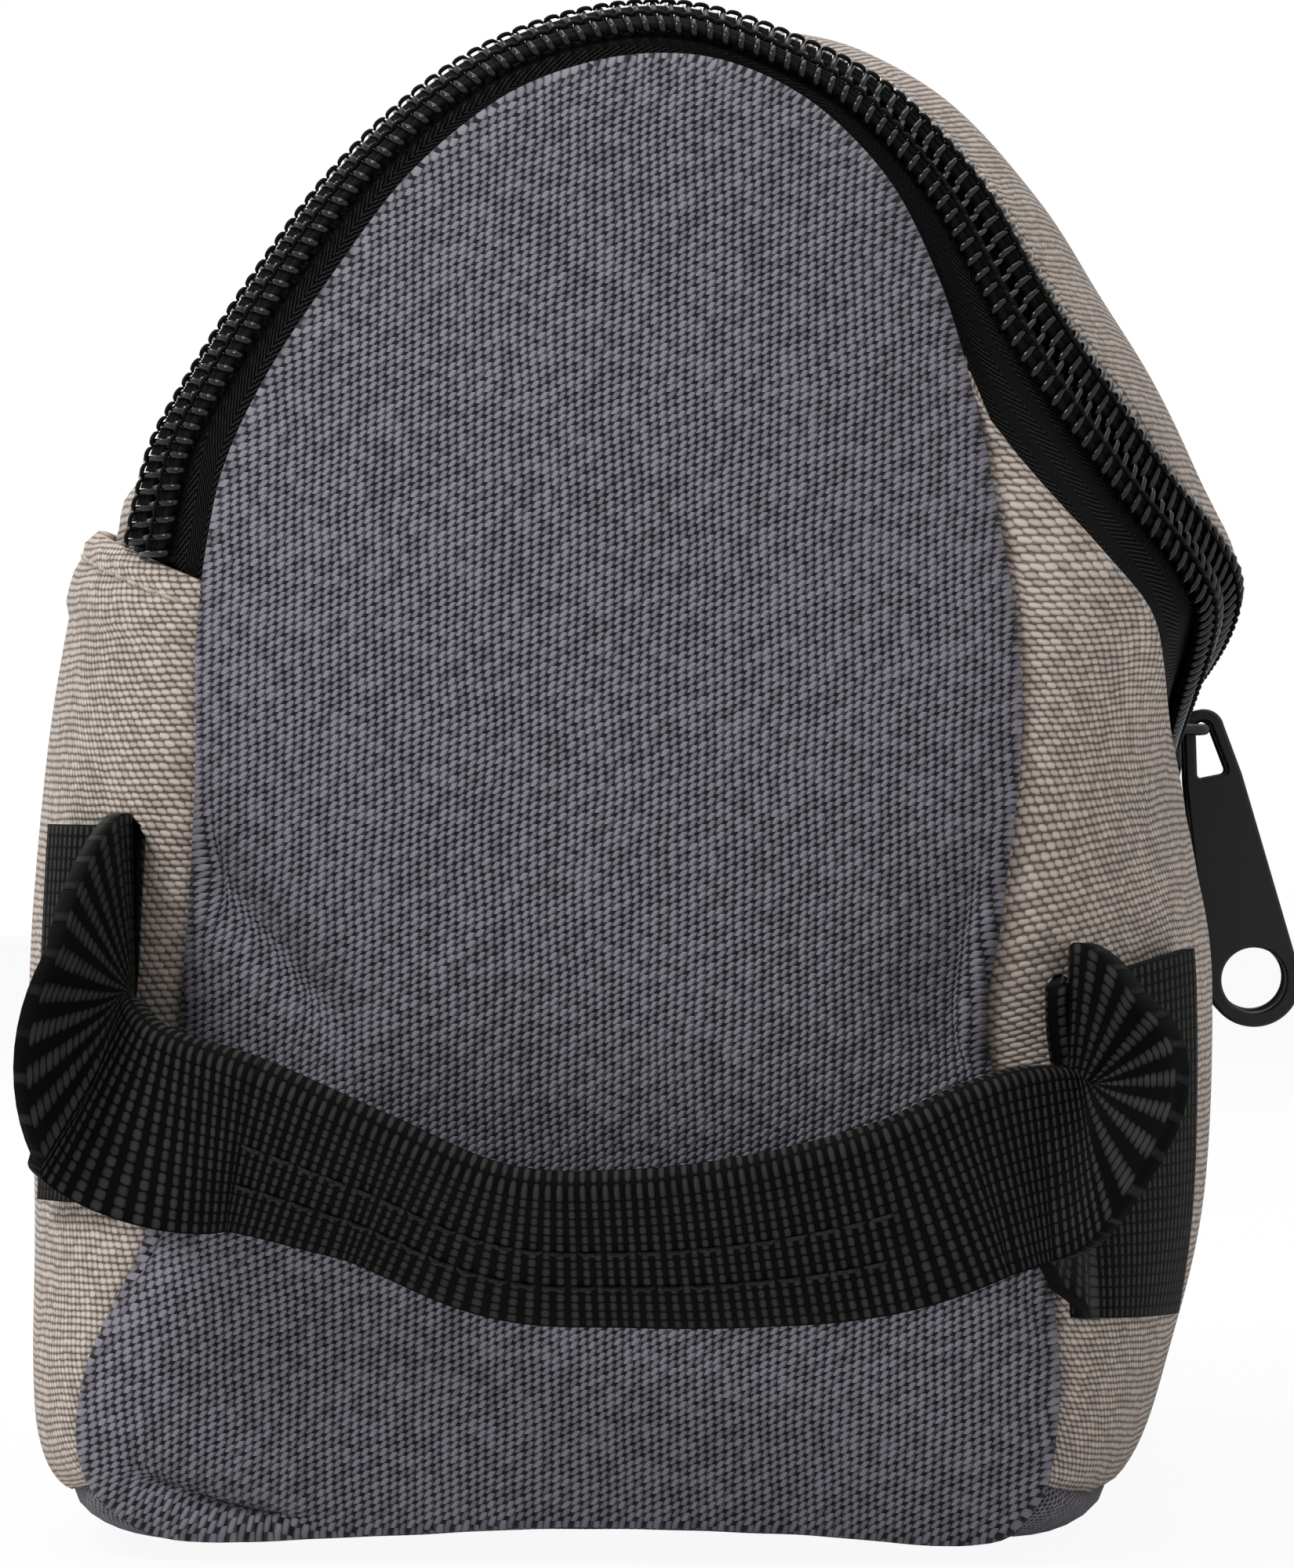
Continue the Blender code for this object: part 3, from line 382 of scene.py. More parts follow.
def cloth(name, a, v, offset, look, body=None, replaces=(), thickness=FABRIC):
    """A sheet over a grid of places on the loft, at offsets from it."""
    a, v, offset = np.broadcast_arrays(a, v, offset)
    flat = np.stack([v, a], axis=-1)
    obj = piece_from(name, lifted(a, v, offset), grid_faces(*a.shape), look, flat, body, replaces)
    return thicken(obj, thickness)


def tube(path, radius, sides, up):
    """Points and faces of a closed tube along a path, with up as the start of each ring."""
    ahead = unit(np.gradient(path, axis=0))
    side = unit(np.cross(ahead, up))
    up = np.cross(side, ahead)
    turn = np.linspace(0.0, 2 * math.pi, sides, endpoint=False)[None, :, None]
    spread = np.cos(turn) * side[:, None] + np.sin(turn) * up[:, None]
    rings = path[:, None] + np.reshape(radius, (-1, 1, 1)) * spread
    index = np.arange(len(path) * sides).reshape(-1, sides)
    after = np.roll(index, -1, axis=1)
    quads = np.stack([index[:-1], after[:-1], after[1:], index[1:]], axis=-1).reshape(-1, 4)
    caps = [index[0][::-1].tolist(), index[-1].tolist()]
    return rings.reshape(-1, 3), quads.tolist() + caps


def stitches(name, path, normals, look, body, pitch=3.0 * MM, length=2.3 * MM, radius=0.22 * MM):
    """A row of sewn stitches along a path: short threads that dip into the cloth at both ends."""
    run = running_length(path)
    steps = shares(7)
    arch = np.sqrt(np.maximum(0.0, 1 - (2 * steps - 1) ** 2))
    rise = radius * (1.5 * arch - 0.8)[:, None]
    points = []
    faces = []
    for start in np.arange(0.5 * (pitch - length), run[-1] - length, pitch):
        spots = start + length * steps
        up = read_along(spots, run, normals)
        line = read_along(spots, run, path) + up * rise
        ring_points, ring_faces = tube(line, radius * (0.55 + 0.45 * arch), 6, up)
        base = len(points) * len(ring_points)
        points.append(ring_points)
        faces.extend([[corner + base for corner in face] for face in ring_faces])
    return piece_from(name, np.concatenate(points), faces, look, body=body)


# Materials


def feed(tree, value, target):
    """Sets a socket to a number or colour, or links another socket to it."""
    if isinstance(value, bpy.types.NodeSocket):
        tree.links.new(value, target)
    else:
        target.default_value = value


def add_node(tree, kind, **inputs):
    """A new node, whose named sockets take numbers, colours or other sockets."""
    node = tree.nodes.new("ShaderNode" + kind)
    for name, value in inputs.items():
        feed(tree, value, node.inputs[name])
    return node


def maths(tree, operation, *values):
    """One of Blender's Math nodes on numbers or sockets."""
    node = tree.nodes.new("ShaderNodeMath")
    node.operation = operation
    for value, target in zip(values, node.inputs):
        feed(tree, value, target)
    return node.outputs["Value"]


def varied(tree, value, change, strength):
    """Adds a change from 0 to 1, centred on 0.5, to a value."""
    return maths(tree, "MULTIPLY_ADD", maths(tree, "SUBTRACT", change, 0.5), strength, value)


def cell(tree, place):
    """The number of the cell that a place is in, and how far it is from the cell's middle."""
    number = maths(tree, "FLOOR", place)
    return number, maths(tree, "SUBTRACT", maths(tree, "SUBTRACT", place, number), 0.5)


def cloth_places(tree, size):
    """Cloth coordinates, across and along, counted in a size."""
    source = add_node(tree, "UVMap")
    source.uv_map = "cloth"
    split = add_node(tree, "SeparateXYZ", Vector=source.outputs["UV"])
    return [maths(tree, "DIVIDE", split.outputs[axis], size) for axis in ("X", "Y")]


def joined_vector(tree, x, y):
    return add_node(tree, "CombineXYZ", X=x, Y=y).outputs["Vector"]


def noise(tree, scale, detail, vector=None):
    """Soft noise from 0 to 1 in the object's own space, or over a vector."""
    vector = vector or add_node(tree, "TexCoord").outputs["Object"]
    return add_node(tree, "TexNoise", Vector=vector, Scale=scale, Detail=detail).outputs["Fac"]


def random_at(tree, x, y):
    """A random number from 0 to 1 for each pair of whole numbers."""
    return add_node(tree, "TexWhiteNoise", Vector=joined_vector(tree, x, y)).outputs["Value"]


def feed_shader(tree, name, value):
    tree.links.new(value, tree.nodes["Principled BSDF"].inputs[name])


def coloured(tree, value, *stops):
    """Colours the shader by a value. Each stop is a place from 0 to 1 and its colour."""
    node = add_node(tree, "ValToRGB", Fac=value)
    elements = node.color_ramp.elements
    while len(elements) < len(stops):
        elements.new(0.5)
    for element, (place, colour) in zip(elements, stops):
        element.position = place
        element.color = (*colour, 1.0)
    feed_shader(tree, "Base Color", node.outputs["Color"])


def bumped(tree, height, distance, strength):
    node = add_node(tree, "Bump", Height=height, Distance=distance, Strength=strength)
    feed_shader(tree, "Normal", node.outputs["Normal"])


def new_material(name, roughness, specular, sheen=0.0):
    made = bpy.data.materials.new(name)
    made.use_nodes = True
    tree = made.node_tree
    shader = tree.nodes["Principled BSDF"]
    shader.inputs["Roughness"].default_value = roughness
    shader.inputs["Specular IOR Level"].default_value = specular
    if sheen:
        shader.inputs["Sheen Weight"].default_value = sheen
        shader.inputs["Sheen Roughness"].default_value = 0.5
    return made, tree


def grain(tree, x, y, gaps, powers):
    """The height of a bead round (0, 0). Greater gaps and lesser powers make it smaller."""
    falls = []
    for place, gap, power in zip((x, y), gaps, powers):
        away = maths(tree, "ABSOLUTE", maths(tree, "MULTIPLY", place, gap))
        falls.append(maths(tree, "POWER", away, power))
    inside = maths(tree, "SUBTRACT", 1.0, maths(tree, "ADD", *falls))
    return maths(tree, "POWER", maths(tree, "MAXIMUM", inside, 0.0), 0.5)


def bead_height(tree, column_place, bead_place, lean, gaps):
    """Staggered rice-grain beads of a plain weave: their height, and a random number for each."""
    column, x = cell(tree, column_place)
    stagger = maths(tree, "MULTIPLY", maths(tree, "FLOORED_MODULO", column, 2.0), 0.5)
    row, y = cell(tree, maths(tree, "ADD", bead_place, stagger))
    x = maths(tree, "MULTIPLY_ADD", y, -lean, x)
    return grain(tree, x, y, gaps, (2.0, 2.8)), random_at(tree, column, row)


def canvas(name, dark, light, column_size, bead_size, turned, lean, gaps):
    """Thick plain-weave canvas, whose beads run up the cloth or, if turned, along it."""
    made, tree = new_material(name, 0.88, specular=0.08, sheen=0.12)
    across, along = cloth_places(tree, 1.0)
    flat = joined_vector(tree, across, along)
    wander = varied(tree, 0.0, noise(tree, 55.0, 2.0, flat), 1.6 * MM)
    wander = varied(tree, wander, noise(tree, 620.0, 1.0, flat), 0.30 * MM)
    if turned:
        across, along = along, across
    column = maths(tree, "DIVIDE", maths(tree, "ADD", across, wander), column_size)
    row = maths(tree, "DIVIDE", along, bead_size)
    height, thread = bead_height(tree, column, row, lean, gaps)
    fuzz = noise(tree, 9000.0, 2.0)
    # The tone follows the bead height: the gaps between beads get painted shade and the bead tops
    # partly painted highlight, while the thread, fuzz and noise changes are the cloth's own tone
    tone = maths(tree, "MULTIPLY_ADD", height, 0.92, -0.04)
    tone = varied(tree, tone, thread, 0.44)
    tone = varied(tree, tone, fuzz, 0.30)
    tone = varied(tree, tone, noise(tree, 38.0, 3.0), 0.22)
    middle = tuple(0.5 * (low + high) for low, high in zip(dark, light))
    coloured(tree, tone, (0.0, dark), (0.45, middle), (0.95, light))
    relief = maths(tree, "MULTIPLY_ADD", fuzz, 0.18, maths(tree, "MULTIPLY", height, 1.10))
    bumped(tree, relief, 0.22 * MM, 0.9)
    return made


def zip_tape():
    """Black tape woven in a herringbone twill. Its lengths are in millimetres."""
    made, tree = new_material("zip_tape", 0.80, specular=0.07)
    across, along = cloth_places(tree, MM)
    band = maths(tree, "PINGPONG", across, 2.1)
    slant = maths(tree, "ADD", maths(tree, "MULTIPLY", band, 1.9), along)
    line = maths(tree, "SINE", maths(tree, "MULTIPLY", slant, 2 * math.pi / 0.80))
    cross = maths(tree, "SINE", maths(tree, "MULTIPLY", across, 2 * math.pi / 0.35))
    height = maths(tree, "MULTIPLY_ADD", cross, 0.25, maths(tree, "MULTIPLY_ADD", line, 0.5, 0.5))
    tone = varied(tree, height, noise(tree, 7000.0, 2.0), 0.6)
    coloured(tree, tone, (0.35, (0.0010, 0.0010, 0.0012)), (1.0, (0.046, 0.046, 0.049)))
    bumped(tree, height, 0.30 * MM, 1.0)
    return made


def strap_webbing():
    """Black webbing with ribs across it, each a row of small beads. Its lengths are in millimetres."""
    made, tree = new_material("webbing", 0.78, specular=0.07)
    across, along = cloth_places(tree, MM)
    rib, x = cell(tree, maths(tree, "DIVIDE", along, 1.1))
    bead, y = cell(tree, maths(tree, "DIVIDE", across, 1.15))
    height = grain(tree, x, y, (3.3, 2.05), (2.0, 4.0))
    # The colour follows the bead height, so the gaps between beads are painted shade and the bead tops
    # lighter; the random changes are the webbing's own tone
    tone = varied(tree, height, random_at(tree, rib, bead), 0.30)
    tone = varied(tree, tone, noise(tree, 6000.0, 3.0), 0.5)
    coloured(tree, tone, (0.2, (0.0004, 0.0004, 0.0005)), (1.0, (0.036, 0.036, 0.034)))
    bumped(tree, height, 0.30 * MM, 0.9)
    return made


def plain_weave(name, colour, roughness):
    """A fine smooth lining or binding cloth."""
    made, tree = new_material(name, roughness, specular=0.3, sheen=0.1)
    height, thread = bead_height(tree, *cloth_places(tree, 0.35 * MM), 0.0, (2.1, 1.45))
    tone = maths(tree, "MULTIPLY_ADD", height, 0.5, maths(tree, "MULTIPLY", thread, 0.3))
    dark = tuple(0.55 * c for c in colour)
    light = tuple(1.25 * c for c in colour)
    coloured(tree, tone, (0.0, dark), (0.9, light))
    bumped(tree, height, 0.06 * MM, 0.6)
    return made


def coil_plastic():
    """Glossy black plastic, a little cloudy."""
    made, tree = new_material("zip_coil", 0.14, specular=0.30)
    cloudy = noise(tree, 900.0, 2.0)
    coloured(tree, cloudy, (0.3, (0.0015, 0.0015, 0.0016)), (0.8, (0.005, 0.005, 0.0055)))
    feed_shader(tree, "Roughness", maths(tree, "MULTIPLY_ADD", cloudy, 0.10, 0.07))
    return made


def painted_metal():
    """Satin black paint with a fine grain and faint rubbed patches."""
    made, tree = new_material("black_metal", 0.36, specular=0.3)
    rubbed = noise(tree, 260.0, 3.0)
    coloured(tree, rubbed, (0.35, (0.003, 0.003, 0.0033)), (0.8, (0.008, 0.008, 0.0085)))
    feed_shader(tree, "Roughness", maths(tree, "MULTIPLY_ADD", rubbed, 0.22, 0.26))
    bumped(tree, noise(tree, 5200.0, 3.0), 0.02 * MM, 0.35)
    return made


def sewing_thread(name, dark, light):
    made, tree = new_material(name, 0.7, specular=0.08)
    twist = noise(tree, 3500.0, 2.0)
    coloured(tree, twist, (0.25, dark), (0.75, light))
    bumped(tree, twist, 0.05 * MM, 0.7)
    return made


# Each dark colour is painted shade for the gaps between beads, and each light colour is partly painted
# highlight on the bead tops
GREY = canvas(
    "grey_canvas", dark=(0.011, 0.0105, 0.0145), light=(0.252, 0.238, 0.279),
    column_size=0.90 * MM, bead_size=0.74 * MM, turned=False, lean=0.52, gaps=(2.55, 1.35),
)
BEIGE = canvas(
    "beige_canvas", dark=(0.125, 0.099, 0.083), light=(0.660, 0.565, 0.500),
    column_size=0.74 * MM, bead_size=0.90 * MM, turned=True, lean=-0.25, gaps=(2.25, 1.75),
)
TAPE = zip_tape()
WEBBING = strap_webbing()
COIL = coil_plastic()
METAL = painted_metal()
LINING = plain_weave("lining", (0.060, 0.060, 0.066), 0.6)
BINDING = plain_weave("binding", (0.012, 0.012, 0.013), 0.7)
BEIGE_THREAD = sewing_thread("beige_thread", (0.30, 0.25, 0.20), (0.62, 0.55, 0.47))
GRIP_THREAD = sewing_thread("grip_thread", (0.004, 0.004, 0.004), (0.034, 0.034, 0.034))
# Painted shade: a near-black colour for the cords that stand in for the shadow in the end seams'
# grooves
SEAM_SHADE = sewing_thread("seam_shade", (0.0015, 0.0012, 0.0012), (0.010, 0.009, 0.009))
BLACK_THREAD = sewing_thread("black_thread", (0.0012, 0.0012, 0.0012), (0.008, 0.008, 0.0085))


# Cloth panels

ROLL = 1.0 * MM
ROLL_WIDTH = 1.8 * MM
SEAM_DEPTH = 2.6 * MM
CELL = 1.7 * MM
HEM_STITCH = 2.9 * MM


def along_columns(first=0.0, last=SIDE_LENGTH):
    """Places along the bag, close together at both end seams."""
    return (first + (last - first) * crowded_ends(int((last - first) / CELL)))[None, :]


def rolled(from_seam):
    """How deep the cloth rolls down into a seam."""
    return -ROLL * fading(from_seam, ROLL_WIDTH)


def side_relief(a, v):
    """Folds of the cloth between the seams, as offsets."""
    from_end = end_distance(v)
    fold = 0.75 * MM * waves(a, v) * smooth_step(from_end, 16.0 * MM)
    return fold + rolled(from_end) + 0.22 * MM * pucker(a, from_end)


def base_seam(v, from_base):
    """The rolled and puckered seam along the base."""
    return rolled(from_base) + 0.18 * MM * pucker(v, from_base, 5.0 * MM)


def with_edge(sheet, axis, index, drop):
    """Adds a row (axis 0) or column (axis 1) beside the first or last one, lower by drop."""
    a, v, offset = np.broadcast_arrays(*sheet)
    at = 0 if index == 0 else a.shape[axis]
    return tuple(
        np.insert(values, at, np.take(values, index, axis) - lower, axis)
        for values, lower in ((a, 0.0), (v, 0.0), (offset, drop))
    )


def with_seam_ends(a, v, offset, drop=SEAM_DEPTH):
    """Adds a column at each end that goes down into the end seam."""
    return with_edge(with_edge((a, v, offset), 1, 0, drop), 1, -1, drop)


def front_cloth():
    v = along_columns()
    top = front_edge(v)
    a = FRONT_BASE_A + (top - FRONT_BASE_A) * shares(64)[:, None]
    from_top = top - a
    relief = side_relief(a, v) * smooth_step(from_top, 9.0 * MM) + base_seam(v, a - FRONT_BASE_A)
    # The turned edge over the zip's tape
    relief += 0.35 * MM * bell(from_top - 1.6 * MM, 1.6 * MM)
    relief += -0.8 * MM * fading(from_top, 0.45 * MM)
    sheet = with_edge(with_seam_ends(a, v, relief), 0, -1, 0.7 * MM)
    cloth("front_cloth", *sheet, BEIGE, "body", ["front_panel"])


def back_cloth():
    v = along_columns()
    hem = hem_at(v)
    a = BACK_BASE_A + (hem - BACK_BASE_A) * np.linspace(1.0, 0.0, 74)[:, None] ** 1.15
    from_hem = a - hem
    relief = side_relief(a, v) * smooth_step(from_hem, 12.0 * MM) + base_seam(v, BACK_BASE_A - a)
    # The folded hem stands proud and is drawn in along its stitches
    from_stitch = from_hem - HEM_STITCH
    relief += 0.75 * MM * (1 - smooth_step(from_hem - 7.5 * MM, 2.0 * MM))
    relief += 0.14 * MM * pucker(v, from_stitch, 3.0 * MM) - 0.40 * MM * bell(from_stitch, 0.55 * MM)
    relief += -0.7 * MM * fading(from_hem, 0.35 * MM)
    sheet = with_edge(with_seam_ends(a, v, relief), 0, 0, 1.3 * MM)
    cloth("back_cloth", *sheet, BEIGE, "body", ["back_panel"])
    line_v = np.linspace(2.0 * MM, SIDE_LENGTH - 2.0 * MM, 500)
    line_a = hem_at(line_v) + HEM_STITCH
    path = lifted(line_a, line_v, 0.45 * MM)
    stitches("hem_stitches", path, outward(line_a, line_v), BEIGE_THREAD, "body")


def bottom_cloth():
    v = along_columns()
    low = BACK_BASE_A - GIRTH
    a = low + (FRONT_BASE_A - low) * shares(64)[:, None]
    from_end = end_distance(v)
    relief = rolled(from_end) + rolled(np.minimum(a - low, FRONT_BASE_A - a))
    relief += 0.15 * MM * (pucker(a, from_end, 4.0 * MM) - fading(from_end, MM))
    # The base lifts off what it stands on between its corners
    middle = 1 - smooth_step(np.abs(surface(a, v)[..., 0]) - 18.0 * MM, 26.0 * MM)
    lift = np.clip(from_end / (8.0 * MM), 0.0, 1.0) * bell(from_end - 12.0 * MM, 22.0 * MM)
    relief = np.minimum(relief, 0.0) - 2.5 * MM * lift * middle
    cloth("bottom_cloth", *with_seam_ends(a, v, relief), GREY, "body", ["bottom_panel"])


def end_spokes(count, endpoint=False):
    """Places round an end seam, the end's centre, and the spokes to its rim with their lengths."""
    stations = np.linspace(0.0, GIRTH, count, endpoint=endpoint)
    rim = outline_at(SEAM, place_of(stations))
    centre = np.array([0.5 * (rim[:, 0].max() + rim[:, 0].min()), END_CENTRE_HEIGHT * BAG_HEIGHT])
    spokes = rim - centre
    return stations, centre, spokes, np.linalg.norm(spokes, axis=1, keepdims=True)


def end_rings(count, inset, rings):
    """Places in rings over an end: stations, x, z, distance from the rim, and how far it bulges."""
    stations, centre, spokes, reach = end_spokes(count)
    x, z = np.moveaxis(centre + (spokes * (1 - inset / reach))[:, None] * rings[:, None], -1, 0)
    return stations[:, None], x, z, (1 - rings) * reach, END_BULGE * (1 - rings**2) ** BULGE_POWER


def end_sheet(name, side, points, look, node, thickness):
    """A sheet over an end, from rings of points that close at its centre."""
    rows, columns = points.shape[:2]
    faces = grid_faces(rows, columns, ring=True)
    faces.append([row * columns + columns - 1 for row in reversed(range(rows))])
    if side > 0:
        faces = [face[::-1] for face in faces]
    obj = piece_from(name, points, faces, look, points[..., [0, 2]], "body", [node])
    thicken(obj, thickness)


def end_cloth(name, side, node):
    """A bulging end panel, filled from its seam inwards."""
    rim_rings = 1 - 0.30 * shares(22) ** 1.6
    rings = np.concatenate([rim_rings, np.linspace(0.68, 0.02, 34)])
    stations, x, z, from_rim, bulge = end_rings(300, 0.30 * MM, rings)
    depth = HALF_LENGTH + bulge + end_relief(x, z, from_rim, stations, side)
    points = np.stack([x, side * depth, z], axis=-1)
    inner = points[:, :1] - np.array([0.0, side * SEAM_DEPTH, 0.0])
    points = np.concatenate([inner, points], axis=1)
    end_sheet(name, side, points, GREY, node, FABRIC)


def dent(x, z, start, end, width, depth):
    """A soft valley along a line between two points in millimetres on the end."""
    start = np.array(start) * MM
    run = np.array(end) * MM - start
    length = np.linalg.norm(run)
    run = run / length
    along = (x - start[0]) * run[0] + (z - start[1]) * run[1]
    away = (z - start[1]) * run[0] - (x - start[0]) * run[1]
    beyond = along - np.clip(along / length, 0.0, 1.0) * length
    return -depth * MM * bell(away, width * MM) * bell(beyond, 0.25 * length)


# Valleys on the handle end: two points, a width and a depth, in millimetres
NEAR_DENTS = [
    ((-42.0, 70.5), (-31.0, 57.0), 2.7, 2.1),
    ((-46.0, 8.0), (-35.0, 4.0), 1.7, 2.4),
    ((37.0, 66.0), (30.0, 52.0), 6.0, 1.3),
    ((-44.0, 30.0), (-26.0, 22.0), 6.0, 0.9),
    ((38.0, 33.0), (24.0, 26.0), 7.0, 0.8),
]


def end_relief(x, z, from_rim, stations, side):
    """Folds and puckers of an end panel, with the valleys of the end that has the handle."""
    far_shift = 0.03 if side > 0 else 0.0
    relief = 0.45 * MM * waves(x + 0.05, z * 1.1 + far_shift) * smooth_step(from_rim, 14.0 * MM)
    relief = relief + 0.16 * MM * pucker(stations, from_rim, 4.0 * MM)
    if side < 0:
        for valley in NEAR_DENTS:
            relief = relief + dent(x, z, *valley) * smooth_step(from_rim, 3.0 * MM)
    return relief


def end_edge(side, start, drop, low, arch_count, corner_count, endpoint):
    """Places up one end from near the hem and round the zip's corner, as arrays of a and v."""
    corner_a = ZIP_A + side + drop
    arch = np.linspace(low, corner_a, arch_count, endpoint=False)
    turn = np.linspace(0.0, math.pi / 2, corner_count, endpoint=endpoint)
    round_v = start + (ZIP_CORNER_RUN - start) * (1 - np.cos(turn))
    a = np.concatenate([arch, corner_a - drop * np.sin(turn)])
    return a, np.concatenate([np.full(arch_count, start), round_v])


def edge_curve(side, start, drop, tuck, count):
    """Evenly spaced places along a U from hem to hem, as arrays of a and v."""
    a, v = end_edge(side, start, drop, hem_at(start) + tuck, 400, 400, False)
    a = np.concatenate([a, np.full(100, ZIP_A + side)])
    v = np.concatenate([v, np.linspace(ZIP_CORNER_RUN, MID, 100)])
    a = np.concatenate([a, a[-2::-1]])
    v = np.concatenate([v, (SIDE_LENGTH - v)[-2::-1]])
    run = running_length(surface(a, v))
    spots = np.linspace(0.0, run[-1], count)
    return np.interp(spots, run, a), np.interp(spots, run, v)


def chain_curve(side, count, tuck=0.0):
    """The zip's line, or one beside it that is nearer to the lid's middle."""
    return edge_curve(side, CHAIN_FROM_SEAM + side, ZIP_CORNER_DROP - side, tuck, count)


def lid_cloth():
    start = CHAIN_FROM_SEAM + LID_EDGE
    run = ZIP_CORNER_RUN - start
    drop = ZIP_CORNER_DROP - LID_EDGE
    hem = float(hem_at(start))
    edge_a, edge_v = np.array(end_edge(LID_EDGE, start, drop, hem, 110, 40, True))[..., None]
    v = edge_v + (SIDE_LENGTH - 2 * edge_v) * crowded_ends(130)
    follow = np.clip(1 - np.arange(len(edge_a)) / 40.0, 0.0, 1.0)[:, None]
    a = edge_a + follow * (hem_at(v) - hem)
    # How far each point is from the lid's zipped edge
    from_side = np.maximum(end_distance(v) - start, 0.0)
    corner_edge = ZIP_A + LID_EDGE + drop * quarter_fall(np.clip(1 - from_side / run, 0.0, 1.0))
    from_edge = np.minimum(from_side, np.maximum(a - corner_edge, 0.0))
    inside = smooth_step(from_edge, 14.0 * MM) * smooth_step(hem_at(v) - a, 14.0 * MM)
    relief = 0.8 * MM * waves(a + 0.04, v) * inside
    relief += 0.16 * MM * pucker(a + v, from_edge, 4.0 * MM)
    relief += 0.30 * MM * bell(from_edge - 1.4 * MM, 1.5 * MM)
    relief += -0.7 * MM * fading(from_edge, 0.4 * MM) - 0.5 * MM * fading(from_edge, 4.0 * MM)
    a, v, relief = with_seam_ends(a, v, relief, 0.6 * MM)
    # The cloth goes on down behind the hem, where it is sewn in
    rise = smooth_step(hem_at(v) - a, 5.0 * MM)
    relief = relief * rise - 1.9 * MM * (1 - rise)
    down = np.linspace(7.0 * MM, 1.0 * MM, 6)[:, None]
    a = np.concatenate([a[:1] + down, a])
    v = np.concatenate([v[:1] + 0 * down, v])
    relief = np.concatenate([np.full((len(down), relief.shape[1]), -2.2 * MM), relief])
    obj = cloth("lid_cloth", a[::-1], v[::-1], relief[::-1], BEIGE)
    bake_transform(obj)
    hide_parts("lid_panel")


# Zip

COIL_PITCH = 1.70 * MM
COIL_WIRE = 0.38 * MM
COIL_REACH = 2.15 * MM
COIL_CENTRE = 1.95 * MM
COIL_HALF_HEIGHT = 0.78 * MM
COIL_OUT = -0.25 * MM
COIL_STEPS = 12
CORD_RADIUS = 0.52 * MM
CORDS_ACROSS = (1.3 * MM, 2.2 * MM, 3.1 * MM)
TAPE_THICK = 0.6 * MM
TAPE_ROWS = 520
TAPE_DOWN = -1.45 * MM
TAPE_OUTER = 3.9 * MM
TAPE_INNER = 0.4 * MM

# Places over which the chain is turned towards the end, and how much of the tilt it has at each
TILT_PLACES = (9.9, 12.5, 16.5, 19.0)
TILT_SHARES = (0.0, 1.0, 1.0, 0.0)
CHAIN_TILT = 13.0
CHAIN_POINTS = 2400


def chain_frame():
    """Points along the chain's centre line, with the ways to the lid and outwards at each."""
    a, v = chain_curve(0.0, CHAIN_POINTS)
    path = surface(a, v)
    ahead = unit(np.gradient(path, axis=0))
    normal = outward(a, v, False)
    side = unit(np.cross(normal, ahead))
    to_lid = surface(*chain_curve(1.0 * MM, CHAIN_POINTS)) - path
    side = side * np.sign(np.sum(side * to_lid, axis=1))[:, None]
    out = np.cross(side, ahead)
    out = out * np.sign(np.sum(out * normal, axis=1))[:, None]
    share = smooth_step(np.interp(place_of(a), TILT_PLACES, TILT_SHARES))
    angle = np.radians(CHAIN_TILT * share)[:, None]
    tilted_side = side * np.cos(angle) + out * np.sin(angle)
    return path, tilted_side, out * np.cos(angle) - side * np.sin(angle)


CHAIN_PATH, CHAIN_SIDE, CHAIN_OUT = chain_frame()
CHAIN_RUN = running_length(CHAIN_PATH)


def beside_chain(spots, across, out):
    """Points at spots along the chain, across towards the lid and outwards from its centre line."""
    return read_along(spots, CHAIN_RUN, CHAIN_PATH + CHAIN_SIDE * across + CHAIN_OUT * out)


def chain_out(spots):
    return read_along(spots, CHAIN_RUN, CHAIN_OUT)


def tape(name, sewn, sign, body, node):
    """One half of the zip's tape, from its sewn edge to the middle of the chain."""
    spots = np.linspace(0.0, CHAIN_RUN[-1], TAPE_ROWS)
    sewn = sewn[:, None]
    outer = beside_chain(spots, sign * TAPE_OUTER, TAPE_DOWN)[:, None]
    inner = beside_chain(spots, sign * TAPE_INNER, TAPE_DOWN)[:, None]
    t = shares(10)
    sag = -0.25 * MM * np.sin(math.pi * t) * (1 + 0.5 * np.sin(spots / (6.1 * MM))[:, None])
    span = sewn + (outer - sewn) * t[:, None] + chain_out(spots)[:, None] * sag[..., None]
    under = outer + (inner - outer) * np.array([0.4, 0.8, 1.0])[:, None]
    points = np.concatenate([span, under], axis=1)
    steps = np.linalg.norm(np.diff(points, axis=1, prepend=points[:, :1]), axis=2)
    flat = np.stack(np.broadcast_arrays(np.cumsum(steps, axis=1), spots[:, None]), axis=-1)
    faces = grid_faces(*points.shape[:2], flipped=sign < 0)
    thicken(piece_from(name, points, faces, TAPE, flat, body, [node]), TAPE_THICK)


def zip_tapes():
    tucked = edge_curve(-FRONT_EDGE - 2.5 * MM, SEAM_GAP, ZIP_CORNER_DROP, 3.0 * MM, TAPE_ROWS)
    tape("tape_body", lifted(*tucked, -2.0 * MM), -1, "body", "zipper_tape_body")
    sewn = chain_curve(LID_EDGE + 2.0 * MM, TAPE_ROWS, 1.0 * MM)
    tape("tape_lid", lifted(*sewn, -1.9 * MM), 1, "lid", "zipper_tape_lid")


